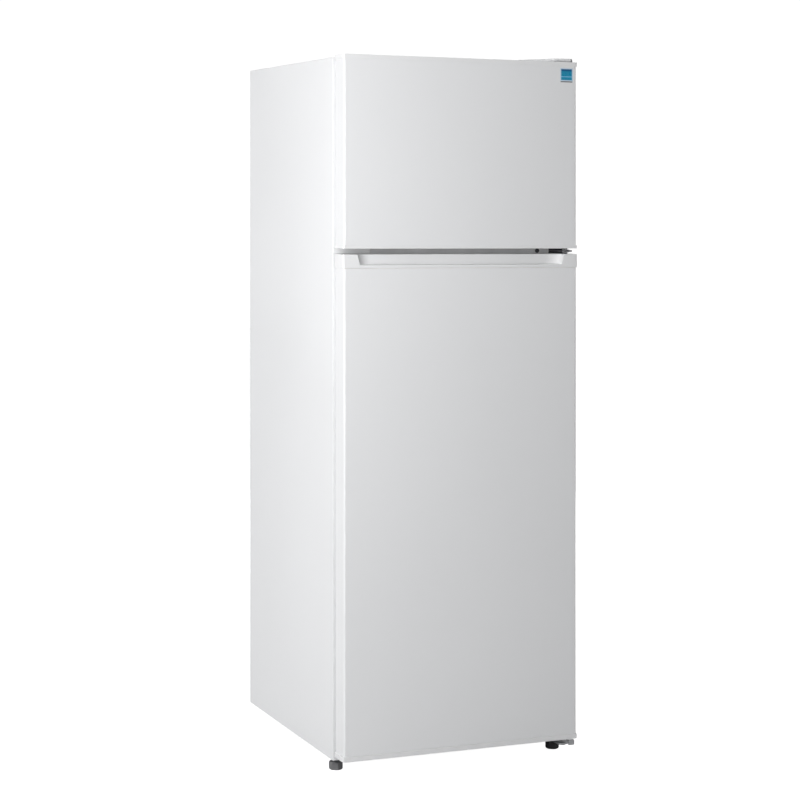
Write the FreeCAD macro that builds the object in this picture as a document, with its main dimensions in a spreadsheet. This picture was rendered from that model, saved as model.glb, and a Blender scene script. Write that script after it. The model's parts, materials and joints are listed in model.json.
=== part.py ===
"""Top freezer refrigerator, free standing, two doors hinged on the right.

Frame: origin on the floor under the middle of the cabinet, +X towards the hinge side,
+Y towards the back, +Z up. Millimetres.
"""
import FreeCAD, Part
import Sketcher
import math
import os
import re

os.makedirs("parts", exist_ok=True)
doc = FreeCAD.newDocument("Refrigerator")
sheet = doc.addObject("Spreadsheet::Sheet", "Dims")

DIMENSIONS = {
    # outside of the whole refrigerator
    "width": 546.0,
    "depth": 596.0,
    "cabinet_bottom": 28.0,
    "cabinet_top": 1502.0,
    "steel": 0.6,
    "flange": 20.0,
    # doors
    "door_bottom": 38.0,
    "fridge_door_top": 1090.0,
    "freezer_door_bottom": 1102.0,
    "door_top": 1506.0,
    "door_thickness": 49.0,
    "gasket_gap": 10.6,
    "door_round": 4.0,
    "cap_overhang": 2.4,
    "cap_proud": 0.5,
    "fridge_cap_bottom": 11.0,
    "handle_cap": 29.0,
    "freezer_cap_bottom": 6.5,
    "freezer_cap_top": 9.0,
    "seal_inset": 15.0,
    "seal_width": 14.0,
    "seal_air": 0.3,
    "liner_sheet": 3.0,
    "dyke_half": 215.0,
    "dyke_wall": 10.0,
    "dyke_rise": 31.0,
    "dyke_margin": 45.0,
    "freezer_dyke_top": 66.0,
    # recessed grip in the fridge door's cap
    "grip_lip": 7.0,
    "grip_depth": 17.0,
    "grip_half_front": 241.0,
    "grip_half_back": 208.0,
    "grip_pocket": 4.0,
    "channel_half": 200.0,
    "channel_height": 18.0,
    # compartments
    "fridge_half": 235.0,
    "freezer_half": 225.0,
    "fridge_floor": 73.0,
    "fridge_ceiling": 1062.0,
    "freezer_floor": 1130.0,
    "freezer_ceiling": 1452.0,
    "back_wall": 45.0,
    "machine_front": 118.0,
    "machine_top": 218.0,
    "back_pan": 3.0,
    "switch_radius": 5.0,
    "plunger_radius": 2.5,
    "liner": 1.2,
    "rail_height": 48.0,
    "rail_depth": 12.0,
    # hinges
    "hinge_right": 14.0,
    "hinge_back": 28.0,
    "pin_radius": 4.0,
    "pin_play": 0.05,
    "pin_reach": 15.0,
    "plate": 3.0,
    # shelves, drawer and bins
    "shelf_setback": 105.4,
    "glass": 4.0,
    "shelf_air": 1.5,
    "crisper_top": 255.0,
    "crisper_wall": 2.5,
    "bin_depth": 86.0,
    "bin_height": 95.0,
    "bin_wall": 2.0,
    # feet and rollers
    "foot_side": 20.5,
    "foot_behind": 95.0,
    "foot_behind_hinge": 80.0,
    "foot_across": 26.0,
    "foot_height": 16.5,
    "foot_stem": 5.0,
    "roller_radius": 19.0,
    "roller_width": 18.0,
    "roller_side": 59.0,
    "roller_behind": 53.0,
}
for row, (alias, number) in enumerate(DIMENSIONS.items(), 1):
    sheet.set(f"A{row}", alias)
    sheet.set(f"B{row}", str(number))
    sheet.setAlias(f"B{row}", alias)
doc.recompute()

# Places worked out from the driving dimensions, as sheet expressions.
LEFT = "-width/2"
RIGHT = "width/2"
DOOR_FRONT = "-depth/2"
DOOR_BACK = "door_thickness - depth/2"
FRONT = "door_thickness + gasket_gap - depth/2"
BACK = "depth/2"
HINGE_X = "width/2 - hinge_right"
HINGE_Y = "hinge_back - depth/2"
LINER_BACK = f"{DOOR_BACK} + liner_sheet"
RAIL_MIDDLE = "(fridge_door_top + freezer_door_bottom)/2"
SHELF_FRONT = f"{FRONT} + shelf_setback"
PLANE = {"z": "XY_Plane", "y": "XZ_Plane", "x": "YZ_Plane"}
TURN = {
    "z": FreeCAD.Rotation(),
    "y": FreeCAD.Rotation(FreeCAD.Vector(1, 0, 0), -90),
    "x": FreeCAD.Rotation(FreeCAD.Vector(0, 1, 0), 90),
}
nodes = []


def dim(alias):
    """The number that the sheet holds for one driving dimension."""
    return float(sheet.get(alias))


def cells(text):
    """Points every alias in an expression at its cell."""
    return re.sub(r"[A-Za-z]\w*", lambda word: "Dims." + word.group(), str(text))


def bind(thing, **expressions):
    for name, text in expressions.items():
        thing.setExpression(name, cells(text))


def place(thing, x, y, z, axis="z"):
    thing.Placement = FreeCAD.Placement(FreeCAD.Vector(), TURN[axis])
    for name, text in (("x", x), ("y", y), ("z", z)):
        thing.setExpression("Placement.Base." + name, cells(text))


def box(name, x, y, z):
    """A block from three pairs of low and high expressions."""
    block = doc.addObject("Part::Box", name)
    bind(
        block,
        Length=f"({x[1]}) - ({x[0]})",
        Width=f"({y[1]}) - ({y[0]})",
        Height=f"({z[1]}) - ({z[0]})",
    )
    place(block, x[0], y[0], z[0])
    return block


def cylinder(name, radius, x, y, z, length, axis="z"):
    """A round bar that starts at x, y, z and runs along the positive axis."""
    bar = doc.addObject("Part::Cylinder", name)
    bind(bar, Radius=radius, Height=length)
    place(bar, x, y, z, axis)
    return bar


def fuse(name, *things):
    whole = doc.addObject("Part::MultiFuse", name)
    whole.Shapes = list(things)
    whole.Refine = True
    return whole


def cut(name, base, *tools):
    tool = tools[0] if len(tools) == 1 else fuse(name + "_tools", *tools)
    rest = doc.addObject("Part::Cut", name)
    rest.Base = base
    rest.Tool = tool
    rest.Refine = True
    return rest


def group(name, *things):
    """Separate identical solids that share one node."""
    bundle = doc.addObject("Part::Compound", name)
    bundle.Links = list(things)
    return bundle


def round_edges(name, base, radius, picks):
    """Rounds the edges that picks() accepts, by their middle point and direction."""
    doc.recompute()
    chosen = []
    for number, edge in enumerate(base.Shape.Edges, 1):
        if edge.Curve.TypeId != "Part::GeomLine":
            continue
        middle = edge.valueAt((edge.FirstParameter + edge.LastParameter) / 2)
        if picks(middle, edge.tangentAt(edge.FirstParameter)):
            chosen.append((number, radius, radius))
    rounded = doc.addObject("Part::Fillet", name)
    rounded.Base = base
    rounded.Edges = chosen
    return rounded


def keep(name, thing):
    thing.Label = name
    nodes.append(thing)
    return thing


# ---- PartDesign helpers -------------------------------------------------------------


def new_body(name):
    return doc.addObject("PartDesign::Body", name)


def new_sketch(body, name, axis, level):
    """A sketch square to axis at a height given by an expression."""
    sketch = body.newObject("Sketcher::SketchObject", name)
    plane = next(f for f in body.Origin.OriginFeatures if f.Role == PLANE[axis])
    sketch.AttachmentSupport = [(plane, "")]
    sketch.MapMode = "FlatFace"
    sign = "-" if axis == "y" else ""
    sketch.setExpression("AttachmentOffset.Base.z", cells(f"{sign}({level})"))
    return sketch


def corner(sketch, line, point, x, y, label):
    """Ties one end of a line to the sketch origin by two named dimensions."""
    for kind, text, suffix in (("DistanceX", x, "x"), ("DistanceY", y, "y")):
        sketch.addConstraint(Sketcher.Constraint(kind, -1, 1, line, point, 1.0))
        number = sketch.ConstraintCount - 1
        sketch.renameConstraint(number, label + suffix)
        sketch.setExpression(f"Constraints.{label + suffix}", cells(text))


def polygon(sketch, points):
    """A closed outline whose corners are pairs of expressions."""
    count = len(points)
    first = sketch.GeometryCount
    for number in range(count):
        turn = 2 * math.pi * number / count
        after = 2 * math.pi * (number + 1) / count
        start = FreeCAD.Vector(math.cos(turn), math.sin(turn), 0)
        end = FreeCAD.Vector(math.cos(after), math.sin(after), 0)
        sketch.addGeometry(Part.LineSegment(start, end))
    for number in range(count):
        follower = first + (number + 1) % count
        sketch.addConstraint(Sketcher.Constraint("Coincident", first + number, 2, follower, 1))
    for number, (x, y) in enumerate(points):
        corner(sketch, first + number, 1, x, y, f"p{first + number}")


def rectangle(sketch, x, y):
    polygon(sketch, [(x[0], y[0]), (x[1], y[0]), (x[1], y[1]), (x[0], y[1])])


def circle(sketch, radius, x, y):
    number = sketch.addGeometry(Part.Circle(FreeCAD.Vector(1, 1, 0), FreeCAD.Vector(0, 0, 1), 1))
    corner(sketch, number, 3, x, y, f"c{number}")
    sketch.addConstraint(Sketcher.Constraint("Radius", number, 1.0))
    label = f"r{number}"
    sketch.renameConstraint(sketch.ConstraintCount - 1, label)
    sketch.setExpression(f"Constraints.{label}", cells(radius))


def pad(body, sketch, length):
    """Grows the sketch along its own normal."""
    feature = body.newObject("PartDesign::Pad", sketch.Name + "_pad")
    feature.Profile = sketch
    bind(feature, Length=length)
    return feature


def pocket(body, sketch, length):
    """Cuts along the sketch's own normal and checks that something was cut."""
    doc.recompute()
    before = body.Shape.Volume
    feature = body.newObject("PartDesign::Pocket", sketch.Name + "_pocket")
    feature.Profile = sketch
    feature.Reversed = True
    bind(feature, Length=length)
    doc.recompute()
    if body.Shape.Volume >= before - 0.01:
        raise SystemExit(f"{feature.Name} cut nothing")
    return feature


def plate_body(name, layers):
    """A body of rectangular pads, each (x, y, z) as pairs of expressions."""
    body = new_body(name)
    for number, (x, y, z) in enumerate(layers):
        sketch = new_sketch(body, f"{name}_sketch{number}", "z", z[0])
        rectangle(sketch, x, y)
        pad(body, sketch, f"({z[1]}) - ({z[0]})")
    return body


# ---- Cabinet shell ------------------------------------------------------------------

SHELL_Y = (FRONT, BACK)
SHELL_Z = ("cabinet_bottom", "cabinet_top - steel")

keep(
    "side_panel_left",
    plate_body(
        "SideLeft",
        [
            ((LEFT, f"{LEFT} + steel"), SHELL_Y, SHELL_Z),
            ((LEFT, f"{LEFT} + flange"), (FRONT, f"{FRONT} + steel"), SHELL_Z),
        ],
    ),
)
keep(
    "side_panel_right",
    plate_body(
        "SideRight",
        [
            ((f"{RIGHT} - steel", RIGHT), SHELL_Y, SHELL_Z),
            ((f"{RIGHT} - flange", RIGHT), (FRONT, f"{FRONT} + steel"), SHELL_Z),
        ],
    ),
)
INSIDE_X = (f"{LEFT} + steel", f"{RIGHT} - steel")
BETWEEN_FLANGES = (f"{LEFT} + flange", f"{RIGHT} - flange")
keep(
    "top_cover",
    plate_body(
        "TopCover",
        [
            ((LEFT, RIGHT), SHELL_Y, ("cabinet_top - steel", "cabinet_top")),
            (
                BETWEEN_FLANGES,
                (FRONT, f"{FRONT} + steel"),
                ("cabinet_top - flange", "cabinet_top - steel"),
            ),
        ],
    ),
)
back_y = (f"{BACK} - back_pan", BACK)
back_x = (f"{LEFT} + steel", f"{RIGHT} - steel")
keep("back_panel", box("BackPanel", back_x, back_y, ("machine_top", "cabinet_top - steel")))
step_top = box(
    "StepTop",
    INSIDE_X,
    ("machine_front", f"{BACK} - back_pan"),
    ("machine_top - steel", "machine_top"),
)
step_front = box(
    "StepFront",
    INSIDE_X,
    ("machine_front", "machine_front + steel"),
    ("cabinet_bottom + steel", "machine_top"),
)
keep("machine_step_panel", fuse("StepPanel", step_top, step_front))

FOOT_Y = {"left": "foot_behind - depth/2", "right": "foot_behind_hinge - depth/2"}
FOOT_X = {"left": f"{LEFT} + foot_side", "right": f"{RIGHT} - foot_side"}
base = box(
    "BaseBlank",
    INSIDE_X,
    (f"{FRONT} + steel", "machine_front + steel"),
    ("cabinet_bottom", "cabinet_bottom + steel"),
)
stem_holes = [
    cylinder(f"StemHole_{side}", "foot_stem + 0.4", x, FOOT_Y[side], "cabinet_bottom - 1", 5)
    for side, x in FOOT_X.items()
]
keep("base_panel", cut("BasePanel", base, *stem_holes))

# ---- Machine compartment floor with the roller brackets -----------------------------

ROLLER_Y = "depth/2 - roller_behind"
AXLE_Z = "roller_radius"
ROLLER_X = {"left": f"{LEFT} + roller_side", "right": f"{RIGHT} - roller_side"}
rail_plate = box(
    "RailPlate",
    INSIDE_X,
    ("machine_front + 12", f"{BACK} - steel"),
    ("cabinet_bottom", "cabinet_bottom + 2"),
)
roller_slots = [
    box(
        f"RollerSlot_{side}",
        (f"{x} - roller_width/2 - 1.5", f"{x} + roller_width/2 + 1.5"),
        (f"{ROLLER_Y} - roller_radius - 2", f"{ROLLER_Y} + roller_radius + 2"),
        ("cabinet_bottom - 1", "cabinet_bottom + 3"),
    )
    for side, x in ROLLER_X.items()
]
rail_parts = [cut("RailPlateCut", rail_plate, *roller_slots)]
for side, x in ROLLER_X.items():
    for ear, offset in (("inner", "-roller_width/2 - 3.5"), ("outer", "roller_width/2 + 1.5")):
        blank = box(
            f"Ear_{side}_{ear}",
            (f"{x} + {offset}", f"{x} + {offset} + 2"),
            (f"{ROLLER_Y} - 14", f"{ROLLER_Y} + 14"),
            ("roller_radius - 9", "cabinet_bottom"),
        )
        hole_x = f"{x} + {offset} - 1"
        hole = cylinder(f"EarHole_{side}_{ear}", "pin_radius", hole_x, ROLLER_Y, AXLE_Z, 4, "x")
        rail_parts.append(cut(f"EarCut_{side}_{ear}", blank, hole))
keep("compressor_rail", fuse("CompressorRail", *rail_parts))
keep(
    "roller_axles",
    group(
        "RollerAxles",
        *[
            cylinder(f"Axle_{side}", "pin_radius", f"{x} - roller_width/2 - 4.5", ROLLER_Y, AXLE_Z,
                     "roller_width + 9", "x")
            for side, x in ROLLER_X.items()
        ],
    ),
)

# ---- Liners, foam and the rail between the compartments ------------------------------

RAIL_Z = (f"{RAIL_MIDDLE} - rail_height/2", f"{RAIL_MIDDLE} + rail_height/2")
FRIDGE_X = ("-fridge_half", "fridge_half")
FREEZER_X = ("-freezer_half", "freezer_half")
CAVITY_BACK = f"{BACK} - back_wall"
STEP_Y = "machine_front - back_wall"
STEP_Z = "machine_top + back_wall"
RIM_Y = (FRONT, f"{FRONT} + steel")
SWITCH_X = "-fridge_half - 5.3"
SWITCH_Z = "fridge_ceiling - 62"


def cavity(name, inset, front):
    """The fridge space with its step over the machine compartment."""
    x = (f"-fridge_half + {inset}", f"fridge_half - {inset}")
    upper = box(
        name + "_upper",
        x,
        (front, f"{CAVITY_BACK} - {inset}"),
        (f"{STEP_Z} + {inset}", f"fridge_ceiling - {inset}"),
    )
    lower = box(
        name + "_lower",
        x,
        (front, f"{STEP_Y} - {inset}"),
        (f"fridge_floor + {inset}", f"{STEP_Z} + {inset}"),
    )
    return fuse(name, upper, lower)


def freezer_cavity(name, inset, front):
    return box(
        name,
        (f"-freezer_half + {inset}", f"freezer_half - {inset}"),
        (front, f"{CAVITY_BACK} - {inset}"),
        (f"freezer_floor + {inset}", f"freezer_ceiling - {inset}"),
    )


rim = box("FridgeRim", BETWEEN_FLANGES, RIM_Y, ("cabinet_bottom + 14", RAIL_Z[0]))
switch_slot = cylinder("SwitchSlot", "switch_radius", SWITCH_X, f"{FRONT} - 1", SWITCH_Z, 4, "y")
keep(
    "fridge_liner",
    cut(
        "FridgeLiner",
        fuse("FridgeLinerBlank", rim, cavity("FridgeOuter", 0, f"{FRONT} + steel")),
        cavity("FridgeInner", "liner", f"{FRONT} - 1"),
        switch_slot,
    ),
)
rim = box("FreezerRim", BETWEEN_FLANGES, RIM_Y, (RAIL_Z[1], "cabinet_top - flange"))
keep(
    "freezer_liner",
    cut(
        "FreezerLiner",
        fuse("FreezerLinerBlank", rim, freezer_cavity("FreezerOuter", 0, f"{FRONT} + steel")),
        freezer_cavity("FreezerInner", "liner", f"{FRONT} - 1"),
    ),
)
rail_outer = box("RailOuter", BETWEEN_FLANGES, (FRONT, f"{FRONT} + rail_depth"), RAIL_Z)
rail_hollow = box(
    "RailHollow",
    (f"{LEFT} + flange + 2", f"{RIGHT} - flange - 2"),
    (f"{FRONT} + 1.2", f"{FRONT} + rail_depth + 1"),
    (f"{RAIL_Z[0]} + 1.2", f"{RAIL_Z[1]} - 1.2"),
)
keep("crossrail", cut("Crossrail", rail_outer, rail_hollow))
keep(
    "crossrail_plug_cover",
    box(
        "PlugCover",
        (f"{LEFT} + 1", f"{LEFT} + 83"),
        (f"{FRONT} - 2.2", f"{FRONT}"),
        ("fridge_door_top + 0.6", "freezer_door_bottom - 0.6"),
    ),
)

foam = box(
    "FoamBlank",
    INSIDE_X,
    (f"{FRONT} + steel", f"{BACK} - back_pan"),
    ("cabinet_bottom + steel", "cabinet_top - steel"),
)
machine_space = box(
    "MachineSpace",
    (f"{LEFT} - 1", f"{RIGHT} + 1"),
    ("machine_front", f"{BACK} + 1"),
    ("cabinet_bottom - 1", "machine_top"),
)
rail_space = box("RailSpace", BETWEEN_FLANGES, (f"{FRONT} - 1", f"{FRONT} + rail_depth"), RAIL_Z)
nut_wells = [
    cylinder(f"NutWell_{side}", 14, x, FOOT_Y[side], "cabinet_bottom", 28) for side, x in FOOT_X.items()
]
switch_well = cylinder("SwitchWell", "switch_radius", SWITCH_X, f"{FRONT} - 1", SWITCH_Z, 26, "y")
keep(
    "cabinet_insulation",
    cut(
        "Foam",
        foam,
        machine_space,
        rail_space,
        cavity("FridgeSpace", 0, f"{FRONT} - 1"),
        freezer_cavity("FreezerSpace", 0, f"{FRONT} - 1"),
        switch_well,
        *nut_wells,
    ),
)

# ---- Hinges --------------------------------------------------------------------------

BOTTOM_PLATE = ("cabinet_bottom - plate", "cabinet_bottom")
MIDDLE_PLATE = (f"{RAIL_MIDDLE} - plate/2", f"{RAIL_MIDDLE} + plate/2")
TOP_PLATE = ("door_top + 0.6", "door_top + 3.1")
EAR_X = (f"{RIGHT} - 40", f"{RIGHT} - 1.5")


def hinge_pin(name, low, length):
    return cylinder(name, "pin_radius", HINGE_X, HINGE_Y, low, length)


top_plate = plate_body(
    "TopHinge",
    [
        ((f"{RIGHT} - 32", f"{RIGHT} - 2"), (f"{HINGE_Y} - 12", f"{FRONT} + 54"), TOP_PLATE),
        ((f"{RIGHT} - 68", f"{RIGHT} - 2"), (f"{FRONT} + 3", f"{FRONT} + 54"), TOP_PLATE),
        (
            (f"{RIGHT} - 68", f"{RIGHT} - 2"),
            (f"{FRONT} + 3", f"{FRONT} + 54"),
            ("cabinet_top", TOP_PLATE[0]),
        ),
    ],
)
keep(
    "top_hinge_bracket",
    fuse("TopHingeBracket", top_plate, hinge_pin("TopPin", "door_top - pin_reach", "pin_reach + 1")),
)
middle_plate = plate_body(
    "MiddleHinge",
    [
        (EAR_X, (f"{HINGE_Y} - 12", FRONT), MIDDLE_PLATE),
        (EAR_X, (f"{FRONT} - plate", FRONT), (f"{RAIL_MIDDLE} - 8", f"{RAIL_MIDDLE} + 8")),
    ],
)
keep(
    "middle_hinge_bracket",
    fuse(
        "MiddleHingeBracket",
        middle_plate,
        hinge_pin(
            "MiddlePin",
            "fridge_door_top - pin_reach",
            "2*pin_reach + freezer_door_bottom - fridge_door_top",
        ),
    ),
)
bottom_plate = plate_body(
    "BottomHinge",
    [
        (EAR_X, (f"{DOOR_FRONT} + 10", f"{FRONT} + 50"), BOTTOM_PLATE),
        (
            (f"{RIGHT} - 16", f"{RIGHT} - 2"),
            (f"{DOOR_FRONT} + 10", f"{DOOR_FRONT} + 13"),
            ("cabinet_bottom - 6", "door_bottom - 4"),
        ),
    ],
)
bottom_pin = hinge_pin(
    "BottomPin",
    "cabinet_bottom - 1",
    "door_bottom - cabinet_bottom + pin_reach + 1",
)
bracket_stem_hole = cylinder(
    "BracketStemHole",
    "foot_stem + 0.4",
    FOOT_X["right"],
    FOOT_Y["right"],
    "cabinet_bottom - 10",
    12,
)
keep(
    "bottom_hinge_bracket",
    cut("BottomHingeBracket", fuse("BottomHingeBlank", bottom_plate, bottom_pin), bracket_stem_hole),
)
NUT_X = f"{RIGHT} - 15"
NUT_Y = f"{DOOR_FRONT} + 45"
keep("bottom_hinge_boss", cylinder("HingeNut", 13.5, NUT_X, NUT_Y, "cabinet_bottom - 12", "12 - plate"))
cover = new_body("TopHingeCoverBody")
sketch = new_sketch(cover, "CoverOutline", "z", "cabinet_top")
COVER = [
    (f"{RIGHT} - 46", f"{DOOR_FRONT} + 14"),
    (f"{RIGHT} - 8", f"{DOOR_FRONT} + 12"),
    (f"{RIGHT} - 0.5", f"{DOOR_FRONT} + 22"),
    (f"{RIGHT} - 0.5", f"{FRONT} + 62"),
    (f"{RIGHT} - 104", f"{FRONT} + 62"),
    (f"{RIGHT} - 104", f"{FRONT} + 18"),
]
polygon(sketch, COVER)
pad(cover, sketch, 13)
hollow_front = box(
    "CoverHollowFront",
    (f"{RIGHT} - 34", f"{RIGHT} - 1.7"),
    (f"{HINGE_Y} - 13", f"{FRONT} + 56"),
    ("cabinet_top - 1", "door_top + 7"),
)
hollow_back = box(
    "CoverHollowBack",
    (f"{RIGHT} - 70", f"{RIGHT} - 1.7"),
    (f"{FRONT} + 2", f"{FRONT} + 56"),
    ("cabinet_top - 1", "door_top + 7"),
)
door_side = box(
    "CoverOverDoor",
    (f"{RIGHT} - 120", f"{RIGHT} + 1"),
    (f"{DOOR_FRONT} - 1", f"{FRONT} + 1"),
    ("cabinet_top - 1", "door_top + 0.6"),
)
keep("top_hinge_cover", cut("TopHingeCover", cover, hollow_front, hollow_back, door_side))


def screw(name, x, y, z):
    """The pan head of one hinge screw, 2 mm tall."""
    return cylinder(name, 4.0, x, y, z, 2.0)


keep(
    "hinge_screws",
    group(
        "HingeScrews",
        screw("TopScrewA", f"{RIGHT} - 55", f"{FRONT} + 20", TOP_PLATE[1]),
        screw("TopScrewB", f"{RIGHT} - 15", f"{FRONT} + 20", TOP_PLATE[1]),
        screw("TopScrewC", f"{RIGHT} - 35", f"{FRONT} + 42", TOP_PLATE[1]),
        screw("BottomScrewA", f"{RIGHT} - 34", f"{FRONT} + 12", "cabinet_bottom - plate - 2"),
        screw("BottomScrewB", f"{RIGHT} - 34", f"{FRONT} + 40", "cabinet_bottom - plate - 2"),
        screw("BottomScrewC", f"{RIGHT} - 10", f"{FRONT} + 40", "cabinet_bottom - plate - 2"),
    ),
)


def washer(name, z):
    ring = cylinder(name + "_blank", "pin_radius + 4", HINGE_X, HINGE_Y, z, 1.5)
    bore = cylinder(name + "_bore", "pin_radius", HINGE_X, HINGE_Y, f"{z} - 1", 4)
    return cut(name, ring, bore)


keep(
    "hinge_washers",
    group(
        "HingeWashers",
        washer("MiddleWasherUpper", MIDDLE_PLATE[1]),
        washer("MiddleWasherLower", f"{MIDDLE_PLATE[0]} - 1.5"),
        washer("BottomWasher", "cabinet_bottom"),
    ),
)

# ---- Doors ---------------------------------------------------------------------------


def front_corner(middle, along):
    """True for the two upright edges at the front of a door block."""
    return abs(along.z) > 0.99 and middle.y < -dim("depth") / 2 + 5 and abs(middle.x) > 260


def door_block(name, inset, front, z, radius):
    block = box(
        name + "_blank",
        (f"{LEFT} + {inset}", f"{RIGHT} - {inset}"),
        (front, DOOR_BACK),
        z,
    )
    return round_edges(name, block, radius, front_corner)


def pin_boss(name, z):
    """The block of a cap that holds the hinge pin's bore."""
    return box(name, (f"{HINGE_X} - 13", f"{HINGE_X} + 9"), (f"{HINGE_Y} - 12", f"{HINGE_Y} + 14"), z)


def pin_bore(name, z):
    return cylinder(name, "pin_radius + pin_play", HINGE_X, HINGE_Y, z[0], f"({z[1]}) - ({z[0]})")


def bin_tray(name, x, low, height):
    """An open-topped bin that hangs between the two dykes of a door liner."""
    back = f"{LINER_BACK} + 0.3"
    outer = box(name + "_outer", x, (back, f"{back} + bin_depth"), (low, f"{low} + {height}"))
    inner = box(
        name + "_inner",
        (f"{x[0]} + bin_wall", f"{x[1]} - bin_wall"),
        (f"{back} + bin_wall", f"{back} + bin_depth - bin_wall"),
        (f"{low} + bin_wall", f"{low} + {height} + 1"),
    )
    return cut(name, outer, inner)


BIN_X = ("-dyke_half + dyke_wall + 0.5", "dyke_half - dyke_wall - 0.5")


def make_door(side, bottom, top, cap_low, cap_high, dyke_top, extra_bosses, bins):
    """Skin, foam, liner and gasket of one door between its two caps."""
    skin_z = (f"{bottom} + {cap_low}", f"{top} - {cap_high}")
    skin_front = f"{DOOR_FRONT} + cap_proud"
    outer = door_block(side + "SkinOuter", "cap_overhang", skin_front, skin_z, dim("door_round"))
    core_z = (f"{skin_z[0]} - 1", f"{skin_z[1]} + 1")
    core = door_block(
        side + "SkinCore",
        "(cap_overhang + steel)",
        f"{skin_front} + steel",
        core_z,
        dim("door_round") - dim("steel"),
    )
    keep(side + "_door_skin", cut(side + "Skin", outer, core))
    filling = door_block(
        side + "FoamBlank",
        "(cap_overhang + steel)",
        f"{skin_front} + steel",
        skin_z,
        dim("door_round") - dim("steel"),
    )
    keep(side + "_door_insulation", cut(side + "DoorFoam", filling, *extra_bosses))
    half = "(width/2 - seal_inset - seal_width - 0.3)"
    plate_z = (f"{bottom} + seal_inset + seal_width + 0.3", f"{top} - seal_inset - seal_width - 0.3")
    sheet_plate = box(side + "LinerPlate", (f"-{half}", half), (DOOR_BACK, LINER_BACK), plate_z)
    dyke_z = (f"{bottom} + dyke_margin", f"{top} - {dyke_top}")
    dyke = box(
        side + "Dyke",
        ("-dyke_half", "dyke_half"),
        (LINER_BACK, f"{LINER_BACK} + dyke_rise"),
        dyke_z,
    )
    dyke_space = box(
        side + "DykeSpace",
        ("-dyke_half + dyke_wall", "dyke_half - dyke_wall"),
        (LINER_BACK, f"{LINER_BACK} + dyke_rise + 1"),
        (f"{dyke_z[0]} + dyke_wall", f"{dyke_z[1]} - dyke_wall"),
    )
    keep(side + "_door_liner", fuse(side + "Liner", sheet_plate, cut(side + "DykeFrame", dyke, dyke_space)))
    seal = box(
        side + "SealBlank",
        (f"{LEFT} + seal_inset", f"{RIGHT} - seal_inset"),
        (DOOR_BACK, f"{FRONT} - seal_air"),
        (f"{bottom} + seal_inset", f"{top} - seal_inset"),
    )
    seal_space = box(
        side + "SealSpace",
        (f"{LEFT} + seal_inset + seal_width", f"{RIGHT} - seal_inset - seal_width"),
        (f"{DOOR_BACK} - 1", FRONT),
        (f"{bottom} + seal_inset + seal_width", f"{top} - seal_inset - seal_width"),
    )
    keep(side + "_door_gasket", cut(side + "Gasket", seal, seal_space))
    for label, low, height in bins:
        keep(f"{side}_door_bin_{label}", bin_tray(f"{side}Bin_{label}", BIN_X, low, height))


# Fridge door: grip cap at the top, plain cap at the bottom.
cap_z = ("fridge_door_top - handle_cap", "fridge_door_top")
grip_blank = door_block("GripCapBlank", 0, DOOR_FRONT, cap_z, dim("door_round"))
grip_body = new_body("GripScoopBody")
sketch = new_sketch(grip_body, "GripPlan", "z", "fridge_door_top - handle_cap + grip_lip")
polygon(
    sketch,
    [
        ("-grip_half_front", f"{DOOR_FRONT} - 1"),
        ("grip_half_front", f"{DOOR_FRONT} - 1"),
        ("grip_half_back", f"{DOOR_FRONT} + grip_depth"),
        ("-grip_half_back", f"{DOOR_FRONT} + grip_depth"),
    ],
)
pad(grip_body, sketch, "handle_cap")
grip_pocket = box(
    "GripPocket",
    ("-grip_half_back", "grip_half_back"),
    (f"{DOOR_FRONT} + 4", f"{DOOR_FRONT} + grip_depth"),
    ("fridge_door_top - handle_cap + grip_lip - grip_pocket", "fridge_door_top"),
)
keep(
    "fridge_door_handle_cap",
    cut(
        "GripCap",
        grip_blank,
        grip_body,
        grip_pocket,
        pin_bore("GripBore", ("fridge_door_top - pin_reach - 1", "fridge_door_top + 1")),
    ),
)
cap_z = ("door_bottom", "door_bottom + fridge_cap_bottom")
boss_z = ("door_bottom", "door_bottom + pin_reach + 5")
keep(
    "fridge_door_bottom_cap",
    cut(
        "FridgeBottomCap",
        fuse(
            "FridgeBottomCapBlank",
            door_block("FridgeBottomRim", 0, DOOR_FRONT, cap_z, dim("door_round")),
            pin_boss("FridgeBottomBoss", boss_z),
        ),
        pin_bore("FridgeBottomBore", ("door_bottom - 1", "door_bottom + pin_reach + 1")),
    ),
)
make_door(
    "fridge",
    "door_bottom",
    "fridge_door_top",
    "fridge_cap_bottom",
    "handle_cap",
    "dyke_margin",
    [pin_boss("FridgeFoamBoss", boss_z)],
    [
        ("lower", "door_bottom + 250", "bin_height + 15"),
        ("middle", "door_bottom + 490", "bin_height"),
        ("upper", "door_bottom + 730", "bin_height"),
    ],
)

# Freezer door: plain cap at the top, finger channel in the cap at the bottom.
cap_z = ("door_top - freezer_cap_top", "door_top")
boss_z = ("door_top - pin_reach - 5", "door_top")
keep(
    "freezer_door_top_cap",
    cut(
        "FreezerTopCap",
        fuse(
            "FreezerTopCapBlank",
            door_block("FreezerTopRim", 0, DOOR_FRONT, cap_z, dim("door_round")),
            pin_boss("FreezerTopBoss", boss_z),
        ),
        pin_bore("FreezerTopBore", ("door_top - pin_reach - 1", "door_top + 1")),
    ),
)
cap_z = ("freezer_door_bottom", "freezer_door_bottom + freezer_cap_bottom")
low_boss_z = ("freezer_door_bottom", "freezer_door_bottom + pin_reach + 5")
tub_x = ("-channel_half - 3", "channel_half + 3")
tub_y = (f"{DOOR_FRONT} + 7", f"{DOOR_FRONT} + 35")
tub_z = ("freezer_door_bottom", "freezer_door_bottom + channel_height + 3")
channel = box(
    "FingerChannel",
    ("-channel_half", "channel_half"),
    (f"{tub_y[0]} + 3", f"{tub_y[1]} - 3"),
    ("freezer_door_bottom - 1", "freezer_door_bottom + channel_height"),
)
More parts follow.
